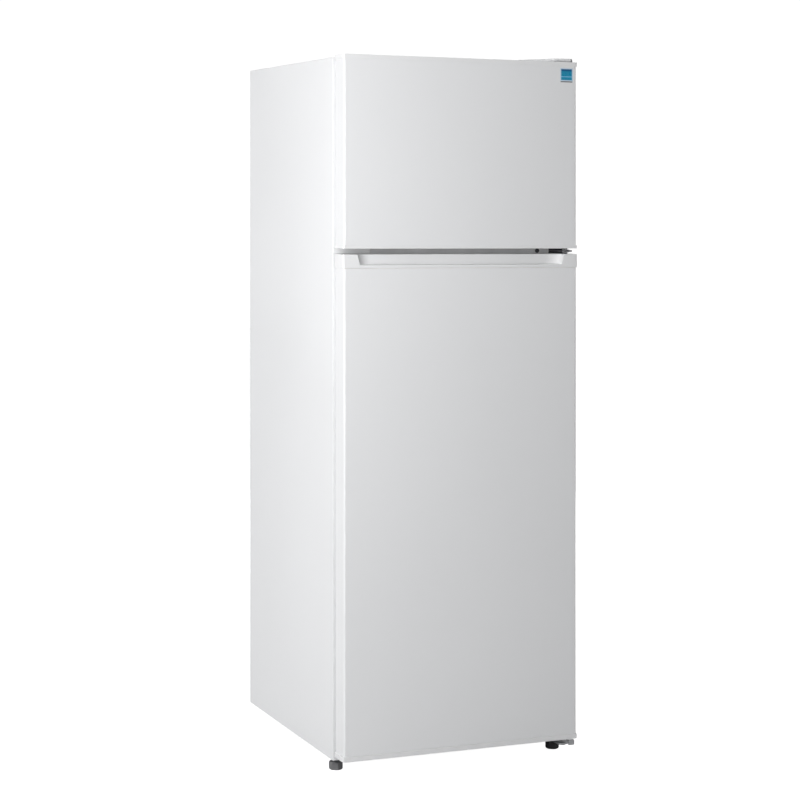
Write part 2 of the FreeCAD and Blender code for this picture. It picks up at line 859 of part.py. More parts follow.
keep(
    "freezer_door_bottom_cap",
    cut(
        "FreezerBottomCap",
        fuse(
            "FreezerBottomCapBlank",
            door_block("FreezerBottomRim", 0, DOOR_FRONT, cap_z, dim("door_round")),
            box("ChannelTub", tub_x, tub_y, tub_z),
            pin_boss("FreezerBottomBoss", low_boss_z),
        ),
        channel,
        pin_bore("FreezerBottomBore", ("freezer_door_bottom - 1", "freezer_door_bottom + pin_reach + 1")),
    ),
)
make_door(
    "freezer",
    "freezer_door_bottom",
    "door_top",
    "freezer_cap_bottom",
    "freezer_cap_top",
    "freezer_dyke_top",
    [
        pin_boss("FreezerFoamBossTop", boss_z),
        pin_boss("FreezerFoamBossLow", low_boss_z),
        box("FreezerFoamTub", tub_x, tub_y, tub_z),
    ],
    [("lower", "freezer_door_bottom + 60", "bin_height - 10")],
)
keep(
    "freezer_door_sticker",
    box(
        "Sticker",
        (f"{RIGHT} - 41.5", f"{RIGHT} - 11"),
        (f"{DOOR_FRONT} + cap_proud - 0.2", f"{DOOR_FRONT} + cap_proud"),
        ("door_top - 41.5", "door_top - 13.5"),
    ),
)

# ---- Inside of the compartments --------------------------------------------------------

SHELF_BACK = f"{CAVITY_BACK} - liner - shelf_air"
FRIDGE_SHELF_X = ("-fridge_half + liner + shelf_air", "fridge_half - liner - shelf_air")
FREEZER_SHELF_X = ("-freezer_half + liner + shelf_air", "freezer_half - liner - shelf_air")
keep(
    "fridge_shelves",
    group(
        "FridgeShelves",
        *[
            box(f"Shelf_{level}", FRIDGE_SHELF_X, (SHELF_FRONT, SHELF_BACK), (level, f"{level} + glass"))
            for level in (450, 640, 830)
        ],
    ),
)
keep(
    "freezer_shelf",
    box(
        "FreezerShelf",
        FREEZER_SHELF_X,
        (SHELF_FRONT, f"{CAVITY_BACK} - liner - 8"),
        ("freezer_floor + 155", "freezer_floor + 159"),
    ),
)
keep(
    "crisper_cover",
    box(
        "CrisperCover",
        FRIDGE_SHELF_X,
        (SHELF_FRONT, SHELF_BACK),
        (f"{STEP_Z} + liner + 0.5", f"{STEP_Z} + liner + 0.5 + glass"),
    ),
)
crisper_x = ("-fridge_half + liner + 4", "fridge_half - liner - 4")
crisper_y = (SHELF_FRONT, f"{STEP_Y} - liner - 3")
crisper_z = ("fridge_floor + liner + 1", "crisper_top")
crisper_outer = box("CrisperOuter", crisper_x, crisper_y, crisper_z)
crisper_inner = box(
    "CrisperInner",
    (f"{crisper_x[0]} + crisper_wall", f"{crisper_x[1]} - crisper_wall"),
    (f"{crisper_y[0]} + crisper_wall", f"{crisper_y[1]} - crisper_wall"),
    (f"{crisper_z[0]} + crisper_wall", f"{crisper_z[1]} + 1"),
)
keep("crisper_drawer", cut("Crisper", crisper_outer, crisper_inner))

CONTROL_Z = ("fridge_ceiling - liner - 42", "fridge_ceiling - liner")
control = box("ControlBlank", (-115, 115), (-60, 60), CONTROL_Z)
dial_bore = cylinder("DialBore", "3 + pin_play", 60, -61, "fridge_ceiling - liner - 21", 15, "y")
lamp_z = ("fridge_ceiling - liner - 35.5", "fridge_ceiling - liner - 6.5")
lamp_well = box("LampWell", (-95, 5), (-61, -40), (f"{lamp_z[0]} - 0.5", f"{lamp_z[1]} + 0.5"))
keep("control_box", cut("ControlBox", control, dial_bore, lamp_well))
keep("lamp_lens", box("LampLens", (-94.5, 4.5), (-60, -44), lamp_z))
dial_disc = cylinder("DialDisc", 16, 60, -70, "fridge_ceiling - liner - 21", 9.5, "y")
dial_stem = cylinder("DialStem", 3, 60, -61, "fridge_ceiling - liner - 21", 14, "y")
keep("thermostat_dial", fuse("ThermostatDial", dial_disc, dial_stem))

switch_blank = cylinder("SwitchBlank", "switch_radius", SWITCH_X, FRONT, SWITCH_Z, 25, "y")
switch_bore = cylinder("SwitchBore", "plunger_radius + pin_play", SWITCH_X, f"{FRONT} - 1", SWITCH_Z, 24, "y")
keep("door_switch_body", cut("SwitchBody", switch_blank, switch_bore))
keep(
    "door_switch_plunger",
    cylinder(
        "Plunger",
        "plunger_radius",
        SWITCH_X,
        f"{LINER_BACK} + 0.4",
        SWITCH_Z,
        "gasket_gap - liner_sheet + 14",
        "y",
    ),
)
keep(
    "evaporator_plate",
    box(
        "Evaporator",
        ("-freezer_half + 30", "freezer_half - 30"),
        (f"{CAVITY_BACK} - liner - 3", f"{CAVITY_BACK} - liner"),
        ("freezer_floor + 25", "freezer_ceiling - 30"),
    ),
)

# ---- Machine compartment ---------------------------------------------------------------

COMPRESSOR_X = -60
COMPRESSOR_Y = 205
SHELL_LOW = 46
shell_blank = cylinder("CompressorShell", 70, COMPRESSOR_X, COMPRESSOR_Y, SHELL_LOW, 118)
doc.recompute()
rims = [
    (number, 28.0, 28.0)
    for number, edge in enumerate(shell_blank.Shape.Edges, 1)
    if edge.Curve.TypeId == "Part::GeomCircle"
]
shell = doc.addObject("Part::Fillet", "CompressorDome")
shell.Base = shell_blank
shell.Edges = rims


def about_compressor(name, half_x, half_y, z):
    """A block centred on the compressor in plan."""
    x = (COMPRESSOR_X - half_x, COMPRESSOR_X + half_x)
    y = (COMPRESSOR_Y - half_y, COMPRESSOR_Y + half_y)
    return box(name, x, y, z)


saddle = about_compressor("CompressorSaddle", 80, 60, (40, 47))
keep("compressor", fuse("Compressor", shell, saddle))
keep(
    "compressor_grommets",
    group(
        "Grommets",
        *[
            cylinder(f"Grommet_{dx}_{dy}", 10, COMPRESSOR_X + dx, COMPRESSOR_Y + dy, "cabinet_bottom + 2", 10)
            for dx in (-66, 66)
            for dy in (-46, 46)
        ],
    ),
)
terminal_x = (COMPRESSOR_X + 70, COMPRESSOR_X + 105)
terminal_y = (COMPRESSOR_Y - 30, COMPRESSOR_Y + 30)
keep("terminal_cover", box("TerminalCover", terminal_x, terminal_y, (80, 140)))
tray_outer = about_compressor("TrayOuter", 75, 60, (165, 195))
tray_inner = about_compressor("TrayInner", 73, 58, (167, 200))
keep("drip_tray", cut("DripTray", tray_outer, tray_inner))
keep("filter_drier", cylinder("FilterDrier", 9, 90, 166, 120, 110, "x"))
keep("cord_gland", cylinder("CordGland", 11, 150, 275, "cabinet_bottom + 2", 22))


def bent_tube(name, points, radius, bend):
    """A round tube of straight runs joined by tangent arcs, all from one route."""
    corners = [FreeCAD.Vector(*point) for point in points]
    edges = []
    start = corners[0]
    for before, here, after in zip(corners, corners[1:], corners[2:]):
        into = (here - before).normalize()
        out = (after - here).normalize()
        half_turn = into.getAngle(out) / 2
        trim = bend * math.tan(half_turn)
        entry = here - into * trim
        exit_point = here + out * trim
        bisector = (out - into).normalize()
        middle = here + bisector * (bend / math.cos(half_turn) - bend)
        edges.append(Part.LineSegment(start, entry).toShape())
        edges.append(Part.Arc(entry, middle, exit_point).toShape())
        start = exit_point
    edges.append(Part.LineSegment(start, corners[-1]).toShape())
    path = Part.Wire(edges)
    ring = Part.Wire(Part.makeCircle(radius, corners[0], corners[1] - corners[0]))
    tube = doc.addObject("Part::Feature", name)
    tube.Shape = path.makePipeShell([ring], True, False)
    tube.Placement = FreeCAD.Placement()
    return tube


# Suction line from the shell up the back of the machine space, and the line to the drier.
suction_route = [(-128, 205, 110), (-190, 205, 110), (-190, 285, 110), (-190, 285, 216)]
suction = bent_tube("SuctionTube", suction_route, 4.0, 18.0)
liquid = cylinder("LiquidLine", 3, -2, 166, 120, 92, "x")
keep("refrigerant_tubes", group("RefrigerantTubes", suction, liquid))

# The condenser lies against the left panel inside the foam, up and down four times.
LOOP_X = -dim("width") / 2 + dim("steel") + 3.5
LOOP_LOW = 250
LOOP_HIGH = 1380
route = []
for number in range(4):
    ends = (LOOP_LOW, LOOP_HIGH) if number % 2 == 0 else (LOOP_HIGH, LOOP_LOW)
    route += [(LOOP_X, -190 + 120 * number, end) for end in ends]
keep("condenser_loop", bent_tube("CondenserLoop", route, 2.4, 24.0))

# ---- Feet and rollers ------------------------------------------------------------------

nuts = []
for side, x in FOOT_X.items():
    foot = new_body(f"Foot_{side}")
    sketch = new_sketch(foot, f"FootHex_{side}", "z", 0)
    hexagon = []
    for number in range(6):
        turn = math.radians(60 * number + 30)
        reach = f"foot_across/{2 * math.cos(math.radians(30)):.6f}"
        across = f"{math.cos(turn):.6f}*{reach}"
        along = f"{math.sin(turn):.6f}*{reach}"
        hexagon.append((f"{x} + {across}", f"{FOOT_Y[side]} + {along}"))
    polygon(sketch, hexagon)
    pad(foot, sketch, "foot_height")
    stem = new_sketch(foot, f"FootStem_{side}", "z", "foot_height")
    circle(stem, "foot_stem", x, FOOT_Y[side])
    pad(foot, stem, "cabinet_bottom + 22 - foot_height")
    keep(f"levelling_foot_{side}", foot)
    nut = cylinder(f"Nut_{side}", 11, x, FOOT_Y[side], "cabinet_bottom + steel", 10)
    thread = cylinder(f"Thread_{side}", "foot_stem + pin_play", x, FOOT_Y[side], "cabinet_bottom", 14)
    nuts.append(cut(f"FootNut_{side}", nut, thread))
keep("foot_nuts", group("FootNuts", *nuts))

for side, x in ROLLER_X.items():
    roller = new_body(f"Roller_{side}")
    sketch = new_sketch(roller, f"RollerDisc_{side}", "x", f"{x} - roller_width/2")
    circle(sketch, "roller_radius", ROLLER_Y, AXLE_Z)
    circle(sketch, "pin_radius + pin_play", ROLLER_Y, AXLE_Z)
    pad(roller, sketch, "roller_width")
    keep(f"rear_roller_{side}", roller)

# ---- Check and write -------------------------------------------------------------------

doc.recompute()
for thing in doc.Objects:
    if "Invalid" in thing.State or "Error" in thing.State:
        raise SystemExit(f"{thing.Name} failed: {thing.State}")
for old in os.listdir("parts"):
    if old.endswith(".step"):
        os.remove(os.path.join("parts", old))
for thing in nodes:
    shape = thing.Shape
    if shape.isNull() or not shape.isValid() or not shape.Solids:
        raise SystemExit(f"{thing.Label} has no valid solid")
    shape.exportStep(f"parts/{thing.Label}.step")
    print(f"{thing.Label:28s} {len(shape.Solids)} solids {shape.Volume / 1000:10.1f} cm3")
print(len(nodes), "nodes")
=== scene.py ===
# %% [markdown]
# # A top freezer refrigerator
# The machine is a steel box filled with foam, with two doors hinged on the right. Its size, its
# hinges and everything that moves were settled before this file, so each piece here is fitted to
# the box of the part it stands for. What is left is the surface: rolled steel edges,
# moulded caps, vinyl seals, clear bins, and how each of them takes the light.

# %% Load the frame
import json
import math
import bmesh
import bpy
import numpy
from mathutils import Matrix, Vector

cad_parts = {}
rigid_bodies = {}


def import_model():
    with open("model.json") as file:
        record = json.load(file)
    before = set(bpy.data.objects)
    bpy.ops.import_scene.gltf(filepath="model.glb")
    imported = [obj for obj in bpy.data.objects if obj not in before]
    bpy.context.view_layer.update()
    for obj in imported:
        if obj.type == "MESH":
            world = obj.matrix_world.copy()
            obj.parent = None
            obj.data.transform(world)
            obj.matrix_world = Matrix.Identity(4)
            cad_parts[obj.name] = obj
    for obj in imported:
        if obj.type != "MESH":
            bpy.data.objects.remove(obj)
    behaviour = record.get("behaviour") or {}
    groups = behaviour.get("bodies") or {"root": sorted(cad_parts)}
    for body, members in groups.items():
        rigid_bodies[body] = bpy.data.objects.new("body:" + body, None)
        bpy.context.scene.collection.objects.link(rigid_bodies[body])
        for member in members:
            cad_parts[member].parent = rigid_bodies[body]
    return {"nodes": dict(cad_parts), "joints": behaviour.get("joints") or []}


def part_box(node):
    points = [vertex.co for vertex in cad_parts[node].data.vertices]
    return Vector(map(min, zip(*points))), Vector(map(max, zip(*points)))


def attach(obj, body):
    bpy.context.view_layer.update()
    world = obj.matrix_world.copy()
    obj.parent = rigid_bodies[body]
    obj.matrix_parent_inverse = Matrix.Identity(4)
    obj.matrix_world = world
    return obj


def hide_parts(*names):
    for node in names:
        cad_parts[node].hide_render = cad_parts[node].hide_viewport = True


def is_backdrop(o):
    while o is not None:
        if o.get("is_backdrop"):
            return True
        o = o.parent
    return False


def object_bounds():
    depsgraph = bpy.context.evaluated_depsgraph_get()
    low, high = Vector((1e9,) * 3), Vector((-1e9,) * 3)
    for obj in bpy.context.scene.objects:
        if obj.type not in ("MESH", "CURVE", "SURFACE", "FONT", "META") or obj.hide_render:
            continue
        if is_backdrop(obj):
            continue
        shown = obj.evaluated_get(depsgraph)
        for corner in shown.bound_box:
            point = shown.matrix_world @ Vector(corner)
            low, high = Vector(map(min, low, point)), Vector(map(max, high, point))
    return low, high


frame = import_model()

CAD_LOW, CAD_HIGH = (tuple(corner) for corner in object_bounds())
MM = 0.001
print("frame box", [round(v, 4) for v in CAD_LOW], [round(v, 4) for v in CAD_HIGH])


def span(node):
    """Lowest x, y, z and highest x, y, z of one part of the frame."""
    low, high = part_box(node)
    return (*low, *high)


_, DOOR_FRONT, FLOOR = CAD_LOW
RIGHT, BACK, _ = CAD_HIGH
SIDE = span("side_panel_left")
FRONT = SIDE[1]
DOOR_BACK = span("fridge_door_bottom_cap")[4]
GRIP = span("fridge_door_handle_cap")
FREEZER_LOW = span("freezer_door_bottom_cap")[2]
DOOR_TOP = span("freezer_door_top_cap")[5]
print("cabinet front", round(FRONT, 4), "door gap", round(FREEZER_LOW - GRIP[5], 4))

# %% [markdown]
# ## Camera first
# A product shot of a tall box is taken from about four metres with a long lens, and the view is
# squared up so that upright edges stay upright. That is a level camera whose view plane is
# slid down and leans a little. A lens can't lean its view, so the camera hangs on a stretched
# empty: a turn, a stretch and another turn together give any such leaning camera.

# %% Camera
HEADING = math.radians(22.954)
VIEW_SLIDE, VIEW_LEAN = -0.09756, 0.009
right_hand = numpy.array([math.cos(HEADING), -math.sin(HEADING), 0.0])
ahead = numpy.array([math.sin(HEADING), math.cos(HEADING), 0.0])
upward = numpy.array([0.0, 0.0, 1.0])
leaning = numpy.stack(
    [right_hand + VIEW_LEAN * upward, upward, -(ahead + VIEW_SLIDE * upward)], axis=1
)
leaning /= numpy.linalg.norm(leaning, axis=0)
turn_out, stretch, turn_in = numpy.linalg.svd(leaning)
if numpy.linalg.det(turn_out) < 0:
    turn_out, turn_in = -turn_out, -turn_in

rig = bpy.data.objects.new("camera_rig", None)
bpy.context.scene.collection.objects.link(rig)
rig.matrix_world = (
    Matrix.Translation((-1.8285, -4.2724, 1.2064))
    @ Matrix(turn_out.tolist()).to_4x4()
    @ Matrix.Diagonal((*stretch.tolist(), 1.0))
)
camera_data = bpy.data.cameras.new("studio_camera")
camera_data.sensor_width = 36.0
camera_data.lens = 92.82 * math.hypot(1, VIEW_SLIDE)
camera_data.clip_end = 60.0
camera = bpy.data.objects.new("studio_camera", camera_data)
bpy.context.scene.collection.objects.link(camera)
bpy.context.scene.camera = camera
camera.parent = rig
camera.rotation_mode = "QUATERNION"
camera.rotation_quaternion = Matrix(turn_in.tolist()).to_quaternion()
print("camera stands", round(math.dist(rig.location, (0, 0, 1.2)), 2), "m away")

# %% [markdown]
# ## Floor, background and light
# White goods are shot on a white sweep, lit by one big soft source on the left and weaker fill
# from everywhere else. The near source makes the flat front darken towards the right, which is
# all the shape that a plain white door has.

# %% Floor and background
scene = bpy.context.scene
scene.view_settings.view_transform = "Standard"
scene.view_settings.look = "None"


def link_nodes(tree, *pairs):
    for source, target in pairs:
        tree.links.new(source, target)


def pale_floor_finish():
    material = bpy.data.materials.new("studio_floor")
    material.use_nodes = True
    tree = material.node_tree
    shader = tree.nodes["Principled BSDF"]
    shader.inputs["Base Color"].default_value = (0.62, 0.62, 0.62, 1)
    shader.inputs["Roughness"].default_value = 0.9
    shader.inputs["Specular IOR Level"].default_value = 0.1
    shader.inputs["Emission Color"].default_value = (1, 1, 1, 1)
    path = tree.nodes.new("ShaderNodeLightPath")
    seen = tree.nodes.new("ShaderNodeMath")
    seen.operation = "MULTIPLY"
    seen.inputs[1].default_value = FLOOR_GLOW
    link_nodes(
        tree,
        (path.outputs["Is Camera Ray"], seen.inputs[0]),
        (seen.outputs[0], shader.inputs["Emission Strength"]),
    )
    return material


FLOOR_GLOW = 0.96
floor_mesh = bpy.data.meshes.new("studio_floor")
FLOOR_HALF = 14.0
floor_mesh.from_pydata(
    [(x, y, 0.0) for x, y in ((-1, -1), (1, -1), (1, 1), (-1, 1))], [], [(0, 1, 2, 3)]
)
floor_mesh.transform(Matrix.Scale(FLOOR_HALF, 4))
floor = bpy.data.objects.new("studio_floor", floor_mesh)
scene.collection.objects.link(floor)
floor_mesh.materials.append(pale_floor_finish())
floor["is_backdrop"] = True

world = bpy.data.worlds.new("studio_white")
scene.world = world
world.use_nodes = True
tree = world.node_tree
AMBIENT = 0.10
lit = tree.nodes["Background"]
lit.inputs["Color"].default_value = (0.97, 0.985, 1.0, 1)
lit.inputs["Strength"].default_value = AMBIENT
seen = tree.nodes.new("ShaderNodeBackground")
seen.inputs["Color"].default_value = (1, 1, 1, 1)
seen.inputs["Strength"].default_value = 1.05
path = tree.nodes.new("ShaderNodeLightPath")
mix = tree.nodes.new("ShaderNodeMixShader")
link_nodes(
    tree,
    (path.outputs["Is Camera Ray"], mix.inputs[0]),
    (lit.outputs[0], mix.inputs[1]),
    (seen.outputs[0], mix.inputs[2]),
    (mix.outputs[0], tree.nodes["World Output"].inputs[0]),
)
print("ambient", AMBIENT)

# %% [markdown]
# ## Soft lights
# Each lamp is a large square panel, because a big source gives soft edges on glossy paint. The
# two keys and the strip shape the front and side. The fills are weak and only open up the back.

# %% Soft lights


def soft_box(name, place, target, size, watts):
    """A square area light aimed at a point."""
    light = bpy.data.lights.new(name, "AREA")
    light.shape = "RECTANGLE"
    light.size, light.size_y = size
    light.energy = watts
    lamp = bpy.data.objects.new(name, light)
    scene.collection.objects.link(lamp)
    lamp.location = place
    lamp.rotation_euler = (Vector(target) - Vector(place)).to_track_quat("-Z", "Y").to_euler()
    return lamp


soft_box("key_front", (-1.3, -1.4, 1.4), (-0.1, -0.1, 1.0), (1.0, 1.4), 25)
soft_box("key_side", (-2.6, 0.9, 1.4), (-0.1, 0.1, 1.0), (1.0, 1.4), 36)
soft_box("strip_front", (-1.5, -4.4, 1.13), (-0.1, -0.2, 1.1), (4.0, 0.5), 36)
soft_box("fill_back", (1.1, 3.4, 1.7), (0, 0.3, 0.8), (2.0, 2.0), 60)
soft_box("fill_right", (3.4, 0.6, 1.6), (0.3, 0.2, 0.8), (1.6, 1.6), 12)
soft_box("fill_top", (0.2, -0.4, 3.4), (0, 0, 0.8), (2.0, 2.0), 15)

# %% [markdown]
# ## Finishes
# Every finish starts from the same idea: one broad cloudy pattern that shifts the tone a little,
# and one fine pattern that gives the surface its grain and breaks up the gloss. What changes from
# paint to vinyl to zinc is the scale, the depth and how shiny it is, so a helper builds the two
# patterns and each finish adds what is its own.

# %% The shared base of a finish


class Finish:
    """A material under construction, with its shader and object coordinates at hand."""

    def __init__(self, name, colour, roughness, metallic=0.0, coat=0.0):
        self.material = bpy.data.materials.new(name)
        self.material.use_nodes = True
        self.tree = self.material.node_tree
        self.shader = self.tree.nodes["Principled BSDF"]
        self.shader.inputs["Metallic"].default_value = metallic
        self.shader.inputs["Coat Weight"].default_value = coat
        self.shader.inputs["Coat Roughness"].default_value = 0.12
        self.colour = colour
        self.roughness = roughness
        coordinates = self.tree.nodes.new("ShaderNodeTexCoord")
        self.place = coordinates.outputs["Object"]
        self.bump_end = None

    def stretched(self, stretch):
        mapping = self.tree.nodes.new("ShaderNodeMapping")
        mapping.inputs["Scale"].default_value = stretch
        link_nodes(self.tree, (self.place, mapping.inputs["Vector"]))
        return mapping.outputs["Vector"]

    def noise(self, scale, detail=3.0, stretch=None):
        node = self.tree.nodes.new("ShaderNodeTexNoise")
        node.inputs["Scale"].default_value = scale
        node.inputs["Detail"].default_value = detail
        source = self.stretched(stretch) if stretch else self.place
        link_nodes(self.tree, (source, node.inputs["Vector"]))
        return node.outputs["Fac"]

    def ranged(self, value, low, high, from_low=0.3, from_high=0.7):
        node = self.tree.nodes.new("ShaderNodeMapRange")
        node.inputs["From Min"].default_value = from_low
        node.inputs["From Max"].default_value = from_high
        node.inputs["To Min"].default_value = low
        node.inputs["To Max"].default_value = high
        link_nodes(self.tree, (value, node.inputs["Value"]))
        return node.outputs["Result"]

    def blend(self, factor, first, second):
        """Mixes two colours, each a tuple or a socket, by a value from 0 to 1."""
        node = self.tree.nodes.new("ShaderNodeMix")
        node.data_type = "RGBA"
        link_nodes(self.tree, (factor, node.inputs["Factor"]))
        for name, colour in (("A", first), ("B", second)):
            sockets = [s for s in node.inputs if s.name == name and s.type == "RGBA"]
            if isinstance(colour, tuple):
                sockets[0].default_value = (*colour, 1)
            else:
                link_nodes(self.tree, (colour, sockets[0]))
        return next(s for s in node.outputs if s.type == "RGBA")

    def tone(self, scale, change, stretch=None):
        """Broad clouds that lighten and darken the colour by a small share."""
        cloud = self.ranged(self.noise(scale, 4.0, stretch), 0.0, 1.0)
        dark = tuple(c * (1 - change) for c in self.colour)
        light = tuple(min(1.0, c * (1 + change)) for c in self.colour)
        self.paint(self.blend(cloud, dark, light))
        return cloud

    def maths(self, operation, first, second=None):
        """One sum on a socket with a number or with another socket."""
        node = self.tree.nodes.new("ShaderNodeMath")
        node.operation = operation
        link_nodes(self.tree, (first, node.inputs[0]))
        if isinstance(second, float):
            node.inputs[1].default_value = second
        elif second:
            link_nodes(self.tree, (second, node.inputs[1]))
        return node.outputs[0]

    def paint(self, socket):
        link_nodes(self.tree, (socket, self.shader.inputs["Base Color"]))

    def gloss(self, scale, change, stretch=None):
        value = self.noise(scale, 5.0, stretch)
        result = self.ranged(value, self.roughness - change, self.roughness + change)
        link_nodes(self.tree, (result, self.shader.inputs["Roughness"]))

    def bump(self, height, depth, strength=1.0):
        """Adds one layer of relief, depth in metres, on top of the layers before it."""
        node = self.tree.nodes.new("ShaderNodeBump")
        node.inputs["Strength"].default_value = strength
        node.inputs["Distance"].default_value = depth
        link_nodes(self.tree, (height, node.inputs["Height"]))
        if self.bump_end:
            link_nodes(self.tree, (self.bump_end, node.inputs["Normal"]))
        self.bump_end = node.outputs["Normal"]
        link_nodes(self.tree, (self.bump_end, self.shader.inputs["Normal"]))


def ready(finish):
    print("finish", finish.material.name, len(finish.tree.nodes), "nodes")
    return finish.material


# %% [markdown]
# ## White enamel
# The sheets are coil-coated before they are bent. The coating is satin, with a very fine orange
# peel, and long thin sheets never stay quite flat, so a broad shallow ripple lies under it.

# %% White finishes


def patterned(name, colour, roughness, tone, gloss, bumps, stretch=None, **more):
    """A finish from numbers; a bump is (scale, detail, stretch, depth, share)."""
    finish = Finish(name, colour, roughness, **more)
    finish.tone(*tone)
    finish.gloss(*gloss, stretch)
    for scale, detail, pull, depth, share in bumps:
        finish.bump(finish.noise(scale, detail, pull), depth, share)
    return finish


ENAMEL = ready(patterned(
    "white_enamel", (0.80, 0.805, 0.815), 0.42, (1.7, 0.008), (3.0, 0.05),
    [(2.2, 2.0, (1.0, 1.0, 0.45), 0.0016, 0.5), (900.0, 2.0, None, 0.00003, 0.5)], coat=0.05,
))
# The caps and covers are a hair warmer than the enamel, with a fine moulded grain.
MOULDED = ready(patterned(
    "moulded_white", (0.80, 0.803, 0.81), 0.42, (9.0, 0.012), (25.0, 0.06),
    [(1500.0, 3.0, None, 0.00004, 0.7)],
))
# Vacuum-formed sheet is glossy, and slightly drawn out along the depth.
LINER = ready(patterned(
    "liner_white", (0.84, 0.86, 0.88), 0.22, (4.0, 0.01), (8.0, 0.05),
    [(18.0, 2.0, (1.0, 0.3, 1.0), 0.0004, 0.4)], coat=0.3,
))
# The seal is soft and dull.
vinyl = patterned(
    "vinyl_white", (0.82, 0.825, 0.83), 0.6, (14.0, 0.05), (30.0, 0.08),
    [(420.0, 3.0, None, 0.00012, 0.6)],
)
vinyl.shader.inputs["Sheen Weight"].default_value = 0.2
VINYL = ready(vinyl)

# %% [markdown]
# ## Greys, blacks and bare metal
# The rail between the doors and the foot screws are moulded grey. The brackets are zinc plated,
# which shows as pale spangles. The middle hinge and its screws in the gap get a near-black finish
# as painted shade, and the right foot takes the black of the mouldings as painted shade. The
# compressor is dipped in black enamel and its pipes are drawn copper with long draw lines.

# %% Greys and blacks


def plain_mould(name, colour, roughness, grain, depth):
    bumps = [(grain, 3.0, None, depth, 0.8)]
    return ready(patterned(name, colour, roughness, (22.0, 0.08), (40.0, 0.08), bumps))


RAIL_GREY = plain_mould("rail_grey", (0.64, 0.64, 0.65), 0.36, 900.0, 0.00005)
INK_GREY = plain_mould("ink_grey", (0.16, 0.16, 0.17), 0.5, 900.0, 0.00003)
FOOT_GREY = plain_mould("foot_grey", (0.17, 0.17, 0.175), 0.55, 600.0, 0.0001)
# Black mouldings for the rollers, covers and tray; the right foot takes the same black as painted
# shade.
BLACK_MOULD_AND_FOOT_SHADE = plain_mould("black_mould_and_foot_shade", (0.022, 0.022, 0.024), 0.45, 800.0, 0.0001)
RUBBER = plain_mould("black_rubber", (0.02, 0.02, 0.02), 0.75, 300.0, 0.0003)
# Near black as painted shade for the middle hinge and its screws: they stand in the shadow between
# the doors, and their own steel is paler.
BRACKET_IN_PAINTED_SHADE = plain_mould("bracket_painted_shade", (0.045, 0.045, 0.05), 0.5, 1100.0, 0.00012)


COMPRESSOR_BLACK = ready(patterned(
    "compressor_black", (0.012, 0.012, 0.014), 0.22, (12.0, 0.25), (30.0, 0.07),
    [(60.0, 3.0, None, 0.0005, 0.5)], coat=0.6,
))

# %% [markdown]
# ## Bare metal
# Zinc plating freezes into crystals called spangles, which a cell pattern with slightly wavy
# borders shows. Drawn and rolled metal has long fine lines, so its noise is stretched one way.

# %% Bare metal


def zinc_plate():
    finish = Finish("zinc_plate", (0.58, 0.59, 0.605), 0.4, metallic=1.0)
    cells = finish.tree.nodes.new("ShaderNodeTexVoronoi")
    cells.inputs["Scale"].default_value = 38.0
    warped = finish.tree.nodes.new("ShaderNodeMix")
    warped.data_type = "VECTOR"
    wobble = finish.tree.nodes.new("ShaderNodeTexNoise")
    wobble.inputs["Scale"].default_value = 60.0
    share = next(s for s in warped.inputs if s.name == "Factor" and s.type == "VALUE")
    share.default_value = 0.012
    first = next(s for s in warped.inputs if s.name == "A" and s.type == "VECTOR")
    second = next(s for s in warped.inputs if s.name == "B" and s.type == "VECTOR")
    result = next(s for s in warped.outputs if s.type == "VECTOR")
    link_nodes(
        finish.tree,
        (finish.place, wobble.inputs["Vector"]),
        (finish.place, first),
        (wobble.outputs["Color"], second),
        (result, cells.inputs["Vector"]),
    )
    apart = finish.tree.nodes.new("ShaderNodeSeparateColor")
    link_nodes(finish.tree, (cells.outputs["Color"], apart.inputs[0]))
    spangle = finish.ranged(apart.outputs[0], 0.0, 1.0, 0.0, 1.0)
    finish.paint(finish.blend(spangle, (0.53, 0.54, 0.555), (0.61, 0.62, 0.635)))
    link_nodes(
        finish.tree,
        (finish.ranged(apart.outputs[1], 0.34, 0.46, 0.0, 1.0), finish.shader.inputs["Roughness"]),
    )
    finish.bump(finish.noise(500.0, 2.0), 0.00005, 0.5)
    return ready(finish)


def drawn_metal(name, colour, roughness, stretch):
    bumps = [(700.0, 3.0, stretch, 0.00008, 0.6)]
    return ready(patterned(
        name, colour, roughness, (18.0, 0.12), (200.0, 0.1), bumps, stretch, metallic=1.0
    ))


ZINC = zinc_plate()
COPPER = drawn_metal("drawn_copper", (0.72, 0.36, 0.22), 0.3, (1.0, 1.0, 0.08))
ALUMINIUM = drawn_metal("rolled_aluminium", (0.78, 0.79, 0.80), 0.36, (0.06, 1.0, 1.0))

# %% [markdown]
# ## Glass, clear plastic, foam and film
# Shelf glass looks green only through its edge, which volume absorption would do slowly, so a
# faint green tint is enough. The bins are clear styrene with a blue cast and flow marks from the
# gate. Foam shows only where the doors are cut open, as closed yellow cells.

# %% Clear finishes


def clear_finish(name, colour, roughness, waves, depth):
    bumps = [(waves, 2.0, None, depth, 0.4)]
    finish = patterned(name, colour, roughness, (6.0, 0.012), (20.0, 0.015), bumps)
    finish.shader.inputs["Transmission Weight"].default_value = 0.9
    finish.shader.inputs["IOR"].default_value = 1.46
    return ready(finish)


GLASS = clear_finish("shelf_glass", (0.92, 0.975, 0.955), 0.04, 12.0, 0.0002)
CLEAR = clear_finish("clear_styrene", (0.955, 0.975, 0.99), 0.08, 40.0, 0.0004)
OPAL = clear_finish("opal_lens", (0.93, 0.93, 0.90), 0.35, 60.0, 0.0004)


FOAM = ready(patterned(
    "rigid_foam", (0.80, 0.70, 0.42), 0.85, (30.0, 0.12), (50.0, 0.08),
    [(350.0, 4.0, None, 0.0008, 0.8)],
))


